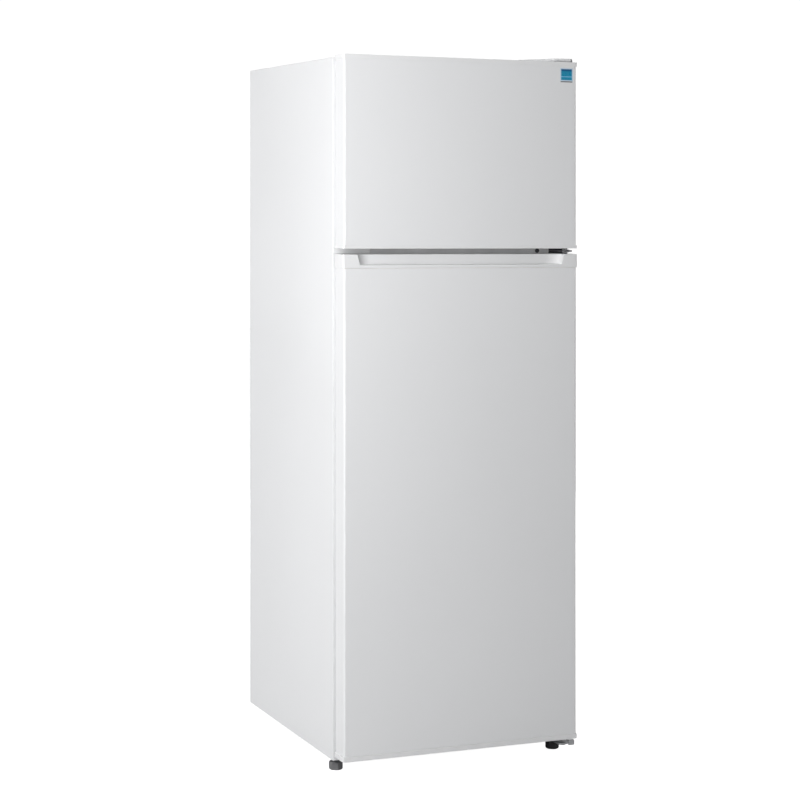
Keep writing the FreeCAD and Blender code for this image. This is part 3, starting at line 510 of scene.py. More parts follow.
def blue_film():
    """A printed label: a blue field, a darker header, one straight rule and a pale border."""
    finish = Finish("blue_film", (0.01, 0.16, 0.42), 0.3)
    low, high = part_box("freezer_door_sticker")
    split = finish.tree.nodes.new("ShaderNodeSeparateXYZ")
    link_nodes(finish.tree, (finish.place, split.inputs[0]))
    border = 2.2 * MM
    sides = []
    for axis, start, end in (("X", low[0], high[0]), ("Z", low[2], high[2])):
        middle, half = (start + end) / 2, (end - start) / 2 - border
        away = finish.maths("ABSOLUTE", finish.maths("SUBTRACT", split.outputs[axis], middle))
        sides.append(finish.ranged(away, 0.0, 1.0, half - 0.2 * MM, half + 0.2 * MM))
    edge = finish.maths("MAXIMUM", *sides)
    height = high[2] - low[2]
    header = finish.ranged(
        split.outputs["Z"], 0.0, 1.0, low[2] + 0.74 * height, low[2] + 0.77 * height
    )
    rule_low = low[2] + 0.30 * height
    above = finish.ranged(split.outputs["Z"], 0.0, 1.0, rule_low, rule_low + 0.4 * MM)
    below = finish.ranged(split.outputs["Z"], 1.0, 0.0, rule_low + 1.6 * MM, rule_low + 2.0 * MM)
    rule = finish.maths("MULTIPLY", above, below)
    field = finish.blend(header, (0.02, 0.27, 0.45), (0.015, 0.12, 0.27))
    banded = finish.blend(rule, field, (0.22, 0.55, 0.80))
    finish.paint(finish.blend(edge, banded, (0.55, 0.68, 0.80)))
    finish.gloss(300.0, 0.05)
    finish.bump(finish.noise(200.0, 2.0), 0.00005, 0.4)
    return ready(finish)


FILM = blue_film()

# %% [markdown]
# ## From outline to piece
# Nearly everything on a refrigerator is an outline pulled straight: bent sheet, moulded caps and
# extruded seals. So each piece is made sharp first and then softened in one go by a bevel whose
# normals are hardened, which keeps the large faces perfectly flat in their shading.

# %% Outlines and prisms
AXES = {"Z": (0, 1, 2), "Y": (0, 2, 1), "X": (1, 2, 0)}


def arc(centre, radius, start, end, steps=8):
    """Points of an arc, angles in degrees."""
    points = []
    for number in range(steps + 1):
        turn = math.radians(start + (end - start) * number / steps)
        points.append((centre[0] + radius * math.cos(turn), centre[1] + radius * math.sin(turn)))
    return points


def rounded(low_a, low_b, high_a, high_b, radii, steps=8):
    """A rectangle with a radius for each corner, from the low corner anticlockwise."""
    corners = ((low_a, low_b), (high_a, low_b), (high_a, high_b), (low_a, high_b))
    inward = ((1, 1), (-1, 1), (-1, -1), (1, -1))
    points = []
    for number, (corner, turn, radius) in enumerate(zip(corners, inward, radii)):
        if radius <= 0:
            points.append(corner)
            continue
        centre = (corner[0] + turn[0] * radius, corner[1] + turn[1] * radius)
        points += arc(centre, radius, 180 + 90 * number, 270 + 90 * number, steps)
    return points


def frozen(shape, name):
    """Turns a mesh under construction into a finished one."""
    mesh = bpy.data.meshes.new(name)
    shape.to_mesh(mesh)
    shape.free()
    return mesh


def nudged(box, *steps):
    """A box with each of its six sides moved by so many millimetres."""
    return tuple(side + step * MM for side, step in zip(box, steps))


def plan(box, inset, radius):
    """A box's outline seen from above, taken in all round, with round corners."""
    return rounded(
        box[0] + inset, box[1] + inset, box[3] - inset, box[4] - inset, (radius,) * 4, 6
    )


def prism(outline, low, high, axis="Z", top=None):
    """A closed mesh from an outline; top may be another outline of as many points."""
    shape = bmesh.new()
    first, second, third = AXES[axis]

    def ring(points, level):
        corners = []
        for point in points:
            place = [0.0, 0.0, 0.0]
            place[first], place[second] = point[0], point[1]
            place[third] = level(point) if callable(level) else level
            corners.append(shape.verts.new(place))
        return corners

    base, lid = ring(outline, low), ring(top or outline, high)
    shape.faces.new(base)
    shape.faces.new(lid)
    for number, corner in enumerate(base):
        after = (number + 1) % len(base)
        shape.faces.new((corner, base[after], lid[after], lid[number]))
    bmesh.ops.recalc_face_normals(shape, faces=shape.faces)
    return frozen(shape, "prism")


def block(box, radius=0.0, axis="Z", corners=(1, 1, 1, 1), steps=8):
    """A box whose edges along one axis are rounded."""
    first, second, third = AXES[axis]
    outline = rounded(
        box[first],
        box[second],
        box[first + 3],
        box[second + 3],
        [radius * c for c in corners],
        steps,
    )
    return prism(outline, box[third], box[third + 3], axis)


def lathe(profile, centre, axis="Z", steps=48):
    """Turns (radius, height) pairs into a closed round piece about an axis through centre."""
    shape = bmesh.new()
    first, second, third = AXES[axis]
    rings = []
    for radius, height in profile:
        ring = []
        for number in range(1 if radius == 0 else steps):
            turn = 2 * math.pi * number / steps
            place = [0.0, 0.0, 0.0]
            place[first] = centre[first] + radius * math.cos(turn)
            place[second] = centre[second] + radius * math.sin(turn)
            place[third] = centre[third] + height
            ring.append(shape.verts.new(place))
        rings.append(ring)
    for lower, upper in zip(rings, rings[1:]):
        for number in range(steps):
            after = (number + 1) % steps
            a, b = lower[number % len(lower)], lower[after % len(lower)]
            c, d = upper[after % len(upper)], upper[number % len(upper)]
            face = list(dict.fromkeys((a, b, c, d)))
            if len(face) > 2:
                shape.faces.new(face)
    for ring in (rings[0], rings[-1]):
        if len(ring) > 2:
            shape.faces.new(ring)
    bmesh.ops.recalc_face_normals(shape, faces=shape.faces)
    return frozen(shape, "lathe")


def joined(*meshes):
    """Several meshes in one, left as separate shells."""
    shape = bmesh.new()
    for mesh in meshes:
        shape.from_mesh(mesh)
    return frozen(shape, "joined")


def plain_mesh(item):
    """What an object looks like with its modifiers, as a mesh of its own."""
    bpy.context.view_layer.update()
    depsgraph = bpy.context.evaluated_depsgraph_get()
    mesh = bpy.data.meshes.new_from_object(item.evaluated_get(depsgraph), depsgraph=depsgraph)
    old = item.data
    bpy.data.objects.remove(item)
    if old and old.users == 0 and isinstance(old, bpy.types.Mesh):
        bpy.data.meshes.remove(old)
    return mesh


def temporary(mesh):
    item = bpy.data.objects.new("workpiece", mesh)
    scene.collection.objects.link(item)
    return item


def shaped(mesh, other, operation="DIFFERENCE"):
    """Cuts one mesh from another, or joins them, exactly."""
    item, tool = temporary(mesh), temporary(other)
    modifier = item.modifiers.new("shape", "BOOLEAN")
    modifier.operation = operation
    modifier.solver = "EXACT"
    modifier.object = tool
    result = plain_mesh(item)
    bpy.data.objects.remove(tool)
    return result


def softened(mesh, width, segments=3, angle=32):
    """Rounds every sharp edge and keeps the flat faces flat in their shading."""
    mesh.shade_smooth()
    item = temporary(mesh)
    if width > 0:
        bevel = item.modifiers.new("edge", "BEVEL")
        bevel.width = width
        bevel.segments = segments
        bevel.limit_method = "ANGLE"
        bevel.angle_limit = math.radians(angle)
        bevel.harden_normals = True
        bevel.use_clamp_overlap = True
    weighted = item.modifiers.new("flat", "WEIGHTED_NORMAL")
    weighted.keep_sharp = True
    weighted.weight = 60
    return plain_mesh(item)


made = []


def fit(name, mesh, material, *stands_for, body="cabinet"):
    """Names a finished mesh, gives it its finish and hangs it on its body."""
    mesh.materials.clear()
    mesh.materials.append(material)
    piece = bpy.data.objects.new(name, mesh)
    scene.collection.objects.link(piece)
    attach(piece, body)
    if stands_for:
        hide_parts(*stands_for)
    made.append(name)
    spread = [[v.co[k] for v in mesh.vertices] for k in range(3)]
    size = [round((max(line) - min(line)) * 1000, 1) for line in spread]
    print(f"{name:28s} {size} mm, {len(mesh.polygons)} faces")
    return piece


# %% [markdown]
# ## Repeats and paths
# Three small node trees do everything that repeats or follows a path: one sweeps a rounded bar
# along a curve, one sets rods side by side and one puts a screw on each point it is given. Each
# ends in real geometry, which is then frozen into a plain mesh.

# %% Node trees


def new_tree(name, inputs):
    tree = bpy.data.node_groups.new(name, "GeometryNodeTree")
    tree.interface.new_socket("Geometry", in_out="INPUT", socket_type="NodeSocketGeometry")
    for label, kind, value in inputs:
        socket = tree.interface.new_socket(label, in_out="INPUT", socket_type=kind)
        if value is not None:
            socket.default_value = value
    tree.interface.new_socket("Geometry", in_out="OUTPUT", socket_type="NodeSocketGeometry")
    return tree, tree.nodes.new("NodeGroupInput"), tree.nodes.new("NodeGroupOutput")


def close_tree(tree, start, end, geometry):
    """Ends a tree in Realize Instances and Set Material."""
    real = tree.nodes.new("GeometryNodeRealizeInstances")
    dress = tree.nodes.new("GeometryNodeSetMaterial")
    link_nodes(
        tree,
        (geometry, real.inputs[0]),
        (real.outputs[0], dress.inputs["Geometry"]),
        (start.outputs["Material"], dress.inputs["Material"]),
        (dress.outputs[0], end.inputs[0]),
    )
    return tree


def grown(tree, source, **values):
    """Runs a tree on a mesh or curve and returns the plain mesh it makes."""
    item = bpy.data.objects.new("growing", source)
    scene.collection.objects.link(item)
    modifier = item.modifiers.new("grow", "NODES")
    modifier.node_group = tree
    for socket in tree.interface.items_tree:
        if socket.item_type == "SOCKET" and socket.in_out == "INPUT" and socket.name in values:
            modifier[socket.identifier] = values[socket.name]
    return plain_mesh(item)


FLOAT, INTEGER, VECTOR, OBJECT, MATERIAL = (
    "NodeSocketFloat",
    "NodeSocketInt",
    "NodeSocketVector",
    "NodeSocketObject",
    "NodeSocketMaterial",
)


def sweep_tree():
    """A rounded rectangle bar along the given curve."""
    tree, start, end = new_tree(
        "swept_bar",
        [
            ("Width", FLOAT, 0.01), ("Height", FLOAT, 0.01), ("Round", FLOAT, 0.002),
            ("Material", MATERIAL, None)
        ],
    )
    section = tree.nodes.new("GeometryNodeCurvePrimitiveQuadrilateral")
    soft = tree.nodes.new("GeometryNodeFilletCurve")
    sweep = tree.nodes.new("GeometryNodeCurveToMesh")
    soft.mode = "POLY"
    soft.inputs["Count"].default_value = 3
    sweep.inputs["Fill Caps"].default_value = True
    link_nodes(
        tree,
        (start.outputs["Width"], section.inputs["Width"]),
        (start.outputs["Height"], section.inputs["Height"]),
        (section.outputs[0], soft.inputs["Curve"]),
        (start.outputs["Round"], soft.inputs["Radius"]),
        (start.outputs["Geometry"], sweep.inputs["Curve"]),
        (soft.outputs[0], sweep.inputs["Profile Curve"]),
    )
    return close_tree(tree, start, end, sweep.outputs[0])


def row_tree():
    """Copies of a shape at equal steps."""
    tree, start, end = new_tree(
        "equal_row",
        [("Count", INTEGER, 5), ("Step", VECTOR, (0.01, 0, 0)), ("Start", VECTOR, (0, 0, 0)),
         ("Material", MATERIAL, None)],
    )
    line = tree.nodes.new("GeometryNodeMeshLine")
    put = tree.nodes.new("GeometryNodeInstanceOnPoints")
    link_nodes(
        tree,
        (start.outputs["Count"], line.inputs["Count"]),
        (start.outputs["Step"], line.inputs["Offset"]),
        (start.outputs["Start"], line.inputs["Start Location"]),
        (line.outputs[0], put.inputs["Points"]),
        (start.outputs["Geometry"], put.inputs["Instance"]),
    )
    return close_tree(tree, start, end, put.outputs[0])


def scatter_tree():
    """The same shape on every point of a mesh, turned by one rotation."""
    tree, start, end = new_tree(
        "on_each_point",
        [("Shape", OBJECT, None), ("Turn", VECTOR, (0, 0, 0)), ("Material", MATERIAL, None)],
    )
    fetch = tree.nodes.new("GeometryNodeObjectInfo")
    put = tree.nodes.new("GeometryNodeInstanceOnPoints")
    turn = tree.nodes.new("FunctionNodeEulerToRotation")
    link_nodes(
        tree,
        (start.outputs["Shape"], fetch.inputs["Object"]),
        (start.outputs["Geometry"], put.inputs["Points"]),
        (fetch.outputs["Geometry"], put.inputs["Instance"]),
        (start.outputs["Turn"], turn.inputs[0]),
        (turn.outputs[0], put.inputs["Rotation"]),
    )
    return close_tree(tree, start, end, put.outputs[0])


SWEEP, ROW, SCATTER = sweep_tree(), row_tree(), scatter_tree()


def path_curve(points, cyclic=False):
    curve = bpy.data.curves.new("path", "CURVE")
    curve.dimensions = "3D"
    spline = curve.splines.new("POLY")
    spline.points.add(len(points) - 1)
    for point, place in zip(spline.points, points):
        point.co = (*place, 1)
    spline.use_cyclic_u = cyclic
    return curve


def swept(points, width, height, radius, material, cyclic=False):
    mesh = grown(
        SWEEP,
        path_curve(points, cyclic),
        Width=width,
        Height=height,
        Round=radius,
        Material=material,
    )
    mesh.shade_smooth()
    return mesh


def in_row(mesh, count, step, material, start=(0, 0, 0)):
    return grown(ROW, mesh, Count=count, Step=step, Start=start, Material=material)


def points_mesh(places):
    mesh = bpy.data.meshes.new("points")
    mesh.from_pydata([tuple(place) for place in places], [], [])
    return mesh


# %% [markdown]
# ## Screws
# One pan head with a cross recess is modelled and set on every place that has a screw: the
# hinges, the rail and the back. A recess cut into the head catches a dark spot even when the
# screw is seen from far away.

# %% Screw heads


def pan_head(radius, height):
    """A domed head standing on z = 0 with a cross recess."""
    dome = [
        (radius * math.cos(t), height * (0.35 + 0.65 * math.sin(t))) for t in (0, 0.5, 1.0, 1.35)
    ]
    head = lathe([(radius * 0.96, 0), *dome, (0, height)], (0, 0, 0), steps=20)
    reach, half = radius * 0.55, radius * 0.13
    for box in ((-reach, -half, reach, half), (-half, -reach, half, reach)):
        tool = block((box[0], box[1], height * 0.35, box[2], box[3], height * 2))
        head = shaped(head, tool)
    return softened(head, radius * 0.04, 1)


SCREW_TEMPLATE = temporary(pan_head(4.0 * MM, 2.0 * MM))


def screws(name, places, turn, material, *stands_for):
    mesh = grown(
        SCATTER, points_mesh(places), Shape=SCREW_TEMPLATE, Turn=turn, Material=material
    )
    return fit(name, mesh, material, *stands_for)


# %% [markdown]
# ## Cabinet shell
# The two sides are one bent sheet each: flat, rolled round a small radius at the front and
# folded in as the flange that the door seals press on. Drawing the sheet's section and pulling it
# up gives the real edge, which a box with a bevel would not.

# %% Cabinet sides and top
SHEET = 0.6 * MM
FLANGE = 20 * MM
ROLL = 1.8 * MM


def bent_side(side):
    """Section of a side sheet from the back to the end of its front flange."""
    x = SIDE[0] if side < 0 else -SIDE[0]
    turn = -side
    outer = [(x, SIDE[4])]
    outer += [
        (x + turn * (ROLL - ROLL * math.cos(t)), FRONT + ROLL - ROLL * math.sin(t))
        for t in [math.pi / 2 * n / 6 for n in range(7)]
    ]
    outer.append((x + turn * FLANGE, FRONT))
    small = ROLL - SHEET
    inner = [(x + turn * FLANGE, FRONT + SHEET)]
    inner += [
        (x + turn * (ROLL - small * math.cos(t)), FRONT + ROLL - small * math.sin(t))
        for t in [math.pi / 2 * (6 - n) / 6 for n in range(7)]
    ]
    inner.append((x + turn * SHEET, SIDE[4]))
    return outer + inner


for label, side in (("left", -1), ("right", 1)):
    sheet_mesh = softened(prism(bent_side(side), SIDE[2], SIDE[5] - 0.1 * MM), 0.12 * MM, 1)
    fit(f"side_sheet_{label}", sheet_mesh, ENAMEL, f"side_panel_{label}")

COVER = span("top_cover")
fold = [
    (COVER[4], COVER[5]),
    (COVER[1] + ROLL, COVER[5]),
    *[
        (COVER[1] + ROLL - ROLL * math.sin(t), COVER[5] - ROLL + ROLL * math.cos(t))
        for t in [math.pi / 2 * n / 6 for n in range(1, 7)]
    ],
    (COVER[1], COVER[2]),
    (COVER[1] + SHEET, COVER[2]),
    (COVER[1] + SHEET, COVER[5] - ROLL),
    (COVER[1] + ROLL, COVER[5] - SHEET),
    (COVER[4], COVER[5] - SHEET),
]
inset = FLANGE + 0.2 * MM
top_mesh = prism(fold, COVER[0] + inset, COVER[3] - inset, "X")
roof_edges = [
    block((x0, COVER[1] + ROLL, COVER[5] - SHEET, x1, COVER[4], COVER[5]))
    for x0, x1 in ((COVER[0], COVER[0] + inset), (COVER[3] - inset, COVER[3]))
]
fit("top_sheet", softened(joined(top_mesh, *roof_edges), 0.12 * MM, 1), ENAMEL, "top_cover")

# %% [markdown]
# ## Back pan
# The back is a shallow pressed pan: a flat rim that is screwed round its edge and long sunk
# fields that stop the thin sheet from drumming. The fields are cut into a plate and softened.

# %% Back pan
PAN = span("back_panel")
PAN_DEPTH = 2.2 * MM
PAN_SLOPE = 7 * MM
FIELD_ROWS = 3
pan_mesh = block(PAN)
margin, gap = 42 * MM, 34 * MM
field_height = (PAN[5] - PAN[2] - 2 * margin - (FIELD_ROWS - 1) * gap) / FIELD_ROWS
for row in range(FIELD_ROWS):
    low = PAN[2] + margin + row * (field_height + gap)
    for half in (0, 1):
        x0 = PAN[0] + margin if half == 0 else gap / 2
        x1 = -gap / 2 if half == 0 else PAN[3] - margin
        bottom = rounded(
            x0 + PAN_SLOPE,
            low + PAN_SLOPE,
            x1 - PAN_SLOPE,
            low + field_height - PAN_SLOPE,
            (18 * MM,) * 4,
        )
        brim = rounded(x0, low, x1, low + field_height, (18 * MM + PAN_SLOPE,) * 4)
        sunk = prism(bottom, PAN[4] - PAN_DEPTH, PAN[4] + 0.01 * MM, "Y", top=brim)
        pan_mesh = shaped(pan_mesh, sunk)
fit("back_pan", softened(pan_mesh, 0.7 * MM, 3, 12), ZINC, "back_panel")
print("fields", FIELD_ROWS * 2, "each", round(field_height * 1000), "mm tall")

# %% [markdown]
# ## Door skins
# A door skin is a sheet wrapped round three sides with a four millimetre radius at each front
# edge. That radius carries the bright line down the left of both doors, so it gets enough steps
# to stay smooth.

# %% Door skins
DOOR_ROUND = 4 * MM


def door_section(x0, x1, front, back, radius, steps=14):
    return rounded(x0, front, x1, back, (radius, radius, 0, 0), steps)


def door_skin(side):
    box = span(f"{side}_door_skin")
    outer = door_section(box[0], box[3], box[1], box[4], DOOR_ROUND)
    inner = door_section(
        box[0] + SHEET, box[3] - SHEET, box[1] + SHEET, box[4] + MM, DOOR_ROUND - SHEET
    )
    shell = shaped(
        prism(outer, box[2], box[5]),
        prism(inner, box[2] - MM, box[5] + MM),
    )
    hem = 14 * MM
    returns = [
        block((x0, box[4] - SHEET, box[2], x1, box[4], box[5]))
        for x0, x1 in ((box[0] + SHEET, box[0] + hem), (box[3] - hem, box[3] - SHEET))
    ]
    mesh = softened(joined(shell, *returns), 0.12 * MM, 1)
    return fit(f"{side}_skin", mesh, ENAMEL, f"{side}_door_skin", body=f"{side}_door")


for side in ("fridge", "freezer"):
    door_skin(side)

# %% [markdown]
# ## Hems
# A door skin is folded over behind, and the seal sits inside the fold. The fold could be bent
# from the skin's section. A thin frame is enough here, since only its flat back is ever seen.

# %% Folded hems behind the doors
HEM_REACH = 27 * MM


def hem_frame(side):
    """The skin's folded edge, seen from behind all round the seal."""
    skin, liner = span(f"{side}_door_skin"), span(f"{side}_door_liner")
    y0, y1 = DOOR_BACK - 0.1 * MM, DOOR_BACK + 0.25 * MM
    x1, reach = skin[3] - 0.3 * MM, HEM_REACH
    z0, z1 = skin[2] + 0.3 * MM, skin[5] - 0.3 * MM
    plate = block((-x1, y0, z0, x1, y1, z1), 2 * MM, "Y")
    opening = (
        -x1 + reach, y0 - MM, liner[2] - MM, x1 - reach, y1 + MM, min(liner[5] + MM, z1 - 2 * MM)
    )
    mesh = shaped(plate, block(opening, 4 * MM, "Y"))
    fit(f"{side}_hem", mesh, ENAMEL, body=f"{side}_door")


for side in ("fridge", "freezer"):
    hem_frame(side)

# %% [markdown]
# ## Door caps
# Each door is closed top and bottom by a moulded cap that stands a little proud of the skin all
# round. The cap keeps the skin's outline, so it is the same section pulled a short way, with
# softer edges than the steel.

# %% Plain door caps
CAP_ROUND = 4 * MM


def cap_blank(node, low=None, high=None):
    box = span(node)
    section = door_section(box[0], box[3], DOOR_FRONT, DOOR_BACK, CAP_ROUND)
    return prism(section, low if low is not None else box[2], high if high is not None else box[5])


def pin_hole(mesh, low, high):
    """The bore that the hinge pin turns in."""
    pivot = next(j["pos_m"] for j in frame["joints"] if j["name"] == "fridge_door_hinge")
    radius = 4.4 * MM
    tool = lathe([(radius, low), (radius, high)], (pivot[0], pivot[1], 0), steps=24)
    return shaped(mesh, tool)


SKIN_LOW = {side: span(f"{side}_door_skin")[2] for side in ("fridge", "freezer")}
SKIN_HIGH = {side: span(f"{side}_door_skin")[5] for side in ("fridge", "freezer")}
SEAM = 0.2 * MM

cap = cap_blank("freezer_door_top_cap", SKIN_HIGH["freezer"])
cap = pin_hole(cap, DOOR_TOP - 12 * MM, DOOR_TOP + MM)
fit(
    "freezer_top_cap", softened(cap, 0.3 * MM), MOULDED, "freezer_door_top_cap", body="freezer_door"
)

cap = cap_blank("fridge_door_bottom_cap", None, SKIN_LOW["fridge"] - SEAM)
cap = pin_hole(cap, span("fridge_door_bottom_cap")[2] - MM, SKIN_LOW["fridge"] - 2 * MM)
fit(
    "fridge_bottom_cap", softened(cap, 0.9 * MM), MOULDED, "fridge_door_bottom_cap",
    body="fridge_door"
)

channel = (-200 * MM, DOOR_FRONT + 10 * MM, FREEZER_LOW - MM, 200 * MM, DOOR_FRONT + 32 * MM,
           FREEZER_LOW + 4.6 * MM)
cap = cap_blank("freezer_door_bottom_cap", None, SKIN_LOW["freezer"])
cap = shaped(cap, block(channel, 6 * MM))
cap = pin_hole(cap, FREEZER_LOW - MM, FREEZER_LOW + 5 * MM)
fit(
    "freezer_bottom_cap", softened(cap, 0.3 * MM), MOULDED, "freezer_door_bottom_cap",
    body="freezer_door"
)

# %% [markdown]
# ## The recessed grip
# The fridge door has no handle: fingers go into a long scoop in its top cap and pull on the lip
# below. The scoop's ends slope inwards and its back corners are round. A tapered cutter, wider at
# the top and at the front, cuts it in one step, and a second cutter sinks the groove behind the
# lip.

# %% Grip cap
LIP_TOP = GRIP[2] + 7 * MM
SCOOP_DEPTH = 17 * MM


def scoop_outline(front_half, back_half, front, back, steps=10):
    """The scoop in plan: each end turns from straight in to straight across."""
    reach, depth = front_half - back_half, back - front
    points = []
    for number in range(steps + 1):
        turn = math.pi / 2 * number / steps
        points.append((front_half - reach * (1 - math.cos(turn)), front + depth * math.sin(turn)))
    return points + [(-x, y) for x, y in reversed(points)]


front, back = DOOR_FRONT - MM, DOOR_FRONT + SCOOP_DEPTH
cap = cap_blank("fridge_door_handle_cap", SKIN_HIGH["fridge"] + SEAM)
tool = prism(
    scoop_outline(235 * MM, 203 * MM, front, back),
    LIP_TOP,
    GRIP[5] + MM,
    top=scoop_outline(241 * MM, 208 * MM, front, back + 0.5 * MM),
)
cap = shaped(cap, tool)
groove = (
    -200 * MM, DOOR_FRONT + 4 * MM, LIP_TOP - 3.5 * MM, 200 * MM, back - 0.4 * MM, LIP_TOP + MM
)
cap = shaped(cap, block(groove, 5 * MM))
cap = pin_hole(cap, GRIP[5] - 12 * MM, GRIP[5] + MM)
fit(
    "fridge_grip_cap", softened(cap, 0.8 * MM), MOULDED, "fridge_door_handle_cap",
    body="fridge_door"
)
print("grip lip", round((LIP_TOP - GRIP[2]) * 1000, 1), "mm tall")

# %% [markdown]
# ## Door seals
# The magnetic seal is extruded vinyl: a flat foot, a bellows tube and a magnet pocket, mitred
# into a frame. Three bars swept along the same rounded rectangle give those three parts.

# %% Seals


def rectangle_path(x0, x1, z0, z1, y, radius):
    return [(x, y, z) for x, z in rounded(x0, z0, x1, z1, (radius,) * 4, 5)]


def seal(side):
    box = span(f"{side}_door_gasket")
    half = 7 * MM
    x0, x1, z0, z1 = box[0] + half, box[3] - half, box[2] + half, box[5] - half
    depth = box[4] - box[1]
    layers = (
        (13.4 * MM, 1.6 * MM, box[1] + 0.8 * MM),
        (9.0 * MM, 3.4 * MM, box[1] + 3.4 * MM),
        (6.4 * MM, 2.0 * MM, box[1] + depth * 0.58),
        (12.6 * MM, 3.0 * MM, box[4] - 1.5 * MM),
    )
    bars = [
        swept(rectangle_path(x0, x1, z0, z1, y, 4 * MM), thick, width, 0.7 * MM, VINYL, True)
        for width, thick, y in layers
    ]
    mesh = joined(*bars)
    return fit(f"{side}_seal", mesh, VINYL, f"{side}_door_gasket", body=f"{side}_door")


for side in ("fridge", "freezer"):
    seal(side)

# %% [markdown]
# ## Door liners
# The inner face of a door is one vacuum-formed sheet. It is drawn up into a raised dyke all
# round, which keeps the cold in and carries the bins, so every edge is round and every wall
# leans a little.

# %% Door liners


def door_liner(side):
    box = span(f"{side}_door_liner")
    plate_back = DOOR_BACK + 3 * MM
    plate = block((box[0], DOOR_BACK, box[2], box[3], plate_back, box[5]), 6 * MM, "Y")
    low = box[2] + (45 - 29.3) * MM
    high = box[5] - ((45 if side == "fridge" else 66) - 29.3) * MM
    x0, x1 = -215 * MM, 215 * MM
    lean = 3 * MM
    foot = rounded(x0, low, x1, high, (14 * MM,) * 4, 6)
    crest = rounded(x0 + lean, low + lean, x1 - lean, high - lean, (12 * MM,) * 4, 6)
    dyke = prism(foot, plate_back - MM, box[4], "Y", top=crest)
    wall = 10 * MM
    inner_low = rounded(x0 + wall, low + wall, x1 - wall, high - wall, (9 * MM,) * 4, 6)
    inner_high = rounded(
        x0 + wall - lean / 2, low + wall - lean / 2, x1 - wall + lean / 2, high - wall + lean / 2,
        (9 * MM,) * 4, 6,
    )
    hollow = prism(inner_low, plate_back, box[4] + MM, "Y", top=inner_high)
    mesh = shaped(shaped(plate, dyke, "UNION"), hollow)
    mesh = softened(mesh, 1.6 * MM, 3)
    return fit(f"{side}_inner_door", mesh, LINER, f"{side}_door_liner", body=f"{side}_door")


for side in ("fridge", "freezer"):
    door_liner(side)

# %% [markdown]
# ## Bins and the crisper
# Bins and the vegetable drawer are thin clear trays with a rolled rim. A tray is a rounded block
# with a smaller one taken out, then a rim swept round its mouth. Raised ribs across the front are
# a row of rods.

# %% Clear trays


def clear_tray(name, node, body, wall, radius, rib_count, rim):
    box = span(node)
    draft = 1.5 * MM
    shell = prism(plan(box, draft, radius), box[2], box[5], top=plan(box, 0, radius))
    core_low = plan(box, wall + draft, radius - wall)
    core_high = plan(box, wall, radius - wall)
    core = prism(core_low, box[2] + wall, box[5] + MM, top=core_high)
    mesh = softened(shaped(shell, core), 0.5 * MM, 2)
    path = [(x, y, box[5] - rim / 2) for x, y in plan(box, rim / 2, radius)]
    band = swept(path, rim, rim, rim * 0.3, CLEAR, True)
    reach = (box[3] - box[0]) * 0.36
    front = box[4] if body.endswith("door") else box[1]
    inward = -1 if body.endswith("door") else 1
    rib = block((-reach, -0.6 * MM, -0.8 * MM, reach, 0.6 * MM, 0.8 * MM), 0.5 * MM, "X")
    step = (box[5] - box[2]) * 0.45 / max(rib_count, 1)
    start = (0, front + inward * (draft + wall + 0.4 * MM), box[2] + (box[5] - box[2]) * 0.25)
    ribs = in_row(rib, rib_count, (0, 0, step), CLEAR, start)
    return fit(name, joined(mesh, band, ribs), CLEAR, node, body=body)


for label in ("lower", "middle", "upper"):
    clear_tray(
        f"fridge_bin_{label}", f"fridge_door_bin_{label}", "fridge_door", 2 * MM, 12 * MM, 4, 4 * MM
    )
clear_tray(
    "freezer_bin_lower", "freezer_door_bin_lower", "freezer_door", 2 * MM, 12 * MM, 4, 4 * MM
)
clear_tray("crisper_tray", "crisper_drawer", "crisper", 2.5 * MM, 14 * MM, 6, 6 * MM)

# %% [markdown]
# ## Compartment liners
# Each compartment is a formed tub with round corners, open to the front, with a flat rim that
# meets the steel flange. The fridge tub steps forward at the bottom to leave room for the
# machinery. The tub is the outer shape less the inner one, both with their edges rounded first.

# %% Tubs
THICK = 1.2 * MM


def tub_block(outline, half, radius):
    """A profile in depth and height pulled across the cabinet, with all its edges round."""
    return softened(prism(outline, -half, half, "X"), radius, 4)


def tub(name, node, outline_for, half, rim_box):
    rim = block(rim_box)
    outer = tub_block(outline_for(0.0, FRONT - 20 * MM), half, 12 * MM + THICK)
    outer = shaped(outer, block((-1, FRONT - 60 * MM, 0, 1, FRONT + 0.1 * MM, 2)))
    inner = tub_block(outline_for(THICK, FRONT - 40 * MM), half - THICK, 12 * MM)
    mesh = shaped(shaped(rim, outer, "UNION"), inner)
    return fit(name, softened(mesh, 0.2 * MM, 2), LINER, node)


FRIDGE = {"half": 235 * MM, "low": 73 * MM, "high": 1062 * MM, "back": BACK - 45 * MM}
STEP = {"front": 73 * MM, "top": 263 * MM}
FREEZER = {"half": 225 * MM, "low": 1130 * MM, "high": 1452 * MM, "back": BACK - 45 * MM}


def fridge_outline(inset, front):
    return [
        (front, FRIDGE["low"] + inset),
        (STEP["front"] - inset, FRIDGE["low"] + inset),
        (STEP["front"] - inset, STEP["top"] + inset),
        (FRIDGE["back"] - inset, STEP["top"] + inset),
        (FRIDGE["back"] - inset, FRIDGE["high"] - inset),
        (front, FRIDGE["high"] - inset),
    ]


def freezer_outline(inset, front):
    low, high, back = FREEZER["low"] + inset, FREEZER["high"] - inset, FREEZER["back"] - inset
    return [(front, low), (back, low), (back, high), (front, high)]


rim_low = span("fridge_liner")[2]
sill = block((SIDE[0] + FLANGE, FRONT, SIDE[2], -SIDE[0] - FLANGE, FRONT + SHEET, rim_low))
fit("front_sill", sill, ENAMEL)
box = span("fridge_liner")
tub("fridge_tub", "fridge_liner", fridge_outline, FRIDGE["half"],
    (box[0], FRONT, box[2], box[3], FRONT + SHEET, box[5]))
box = span("freezer_liner")
tub("freezer_tub", "freezer_liner", freezer_outline, FREEZER["half"],
    (box[0], FRONT, box[2], box[3], FRONT + SHEET, box[5]))

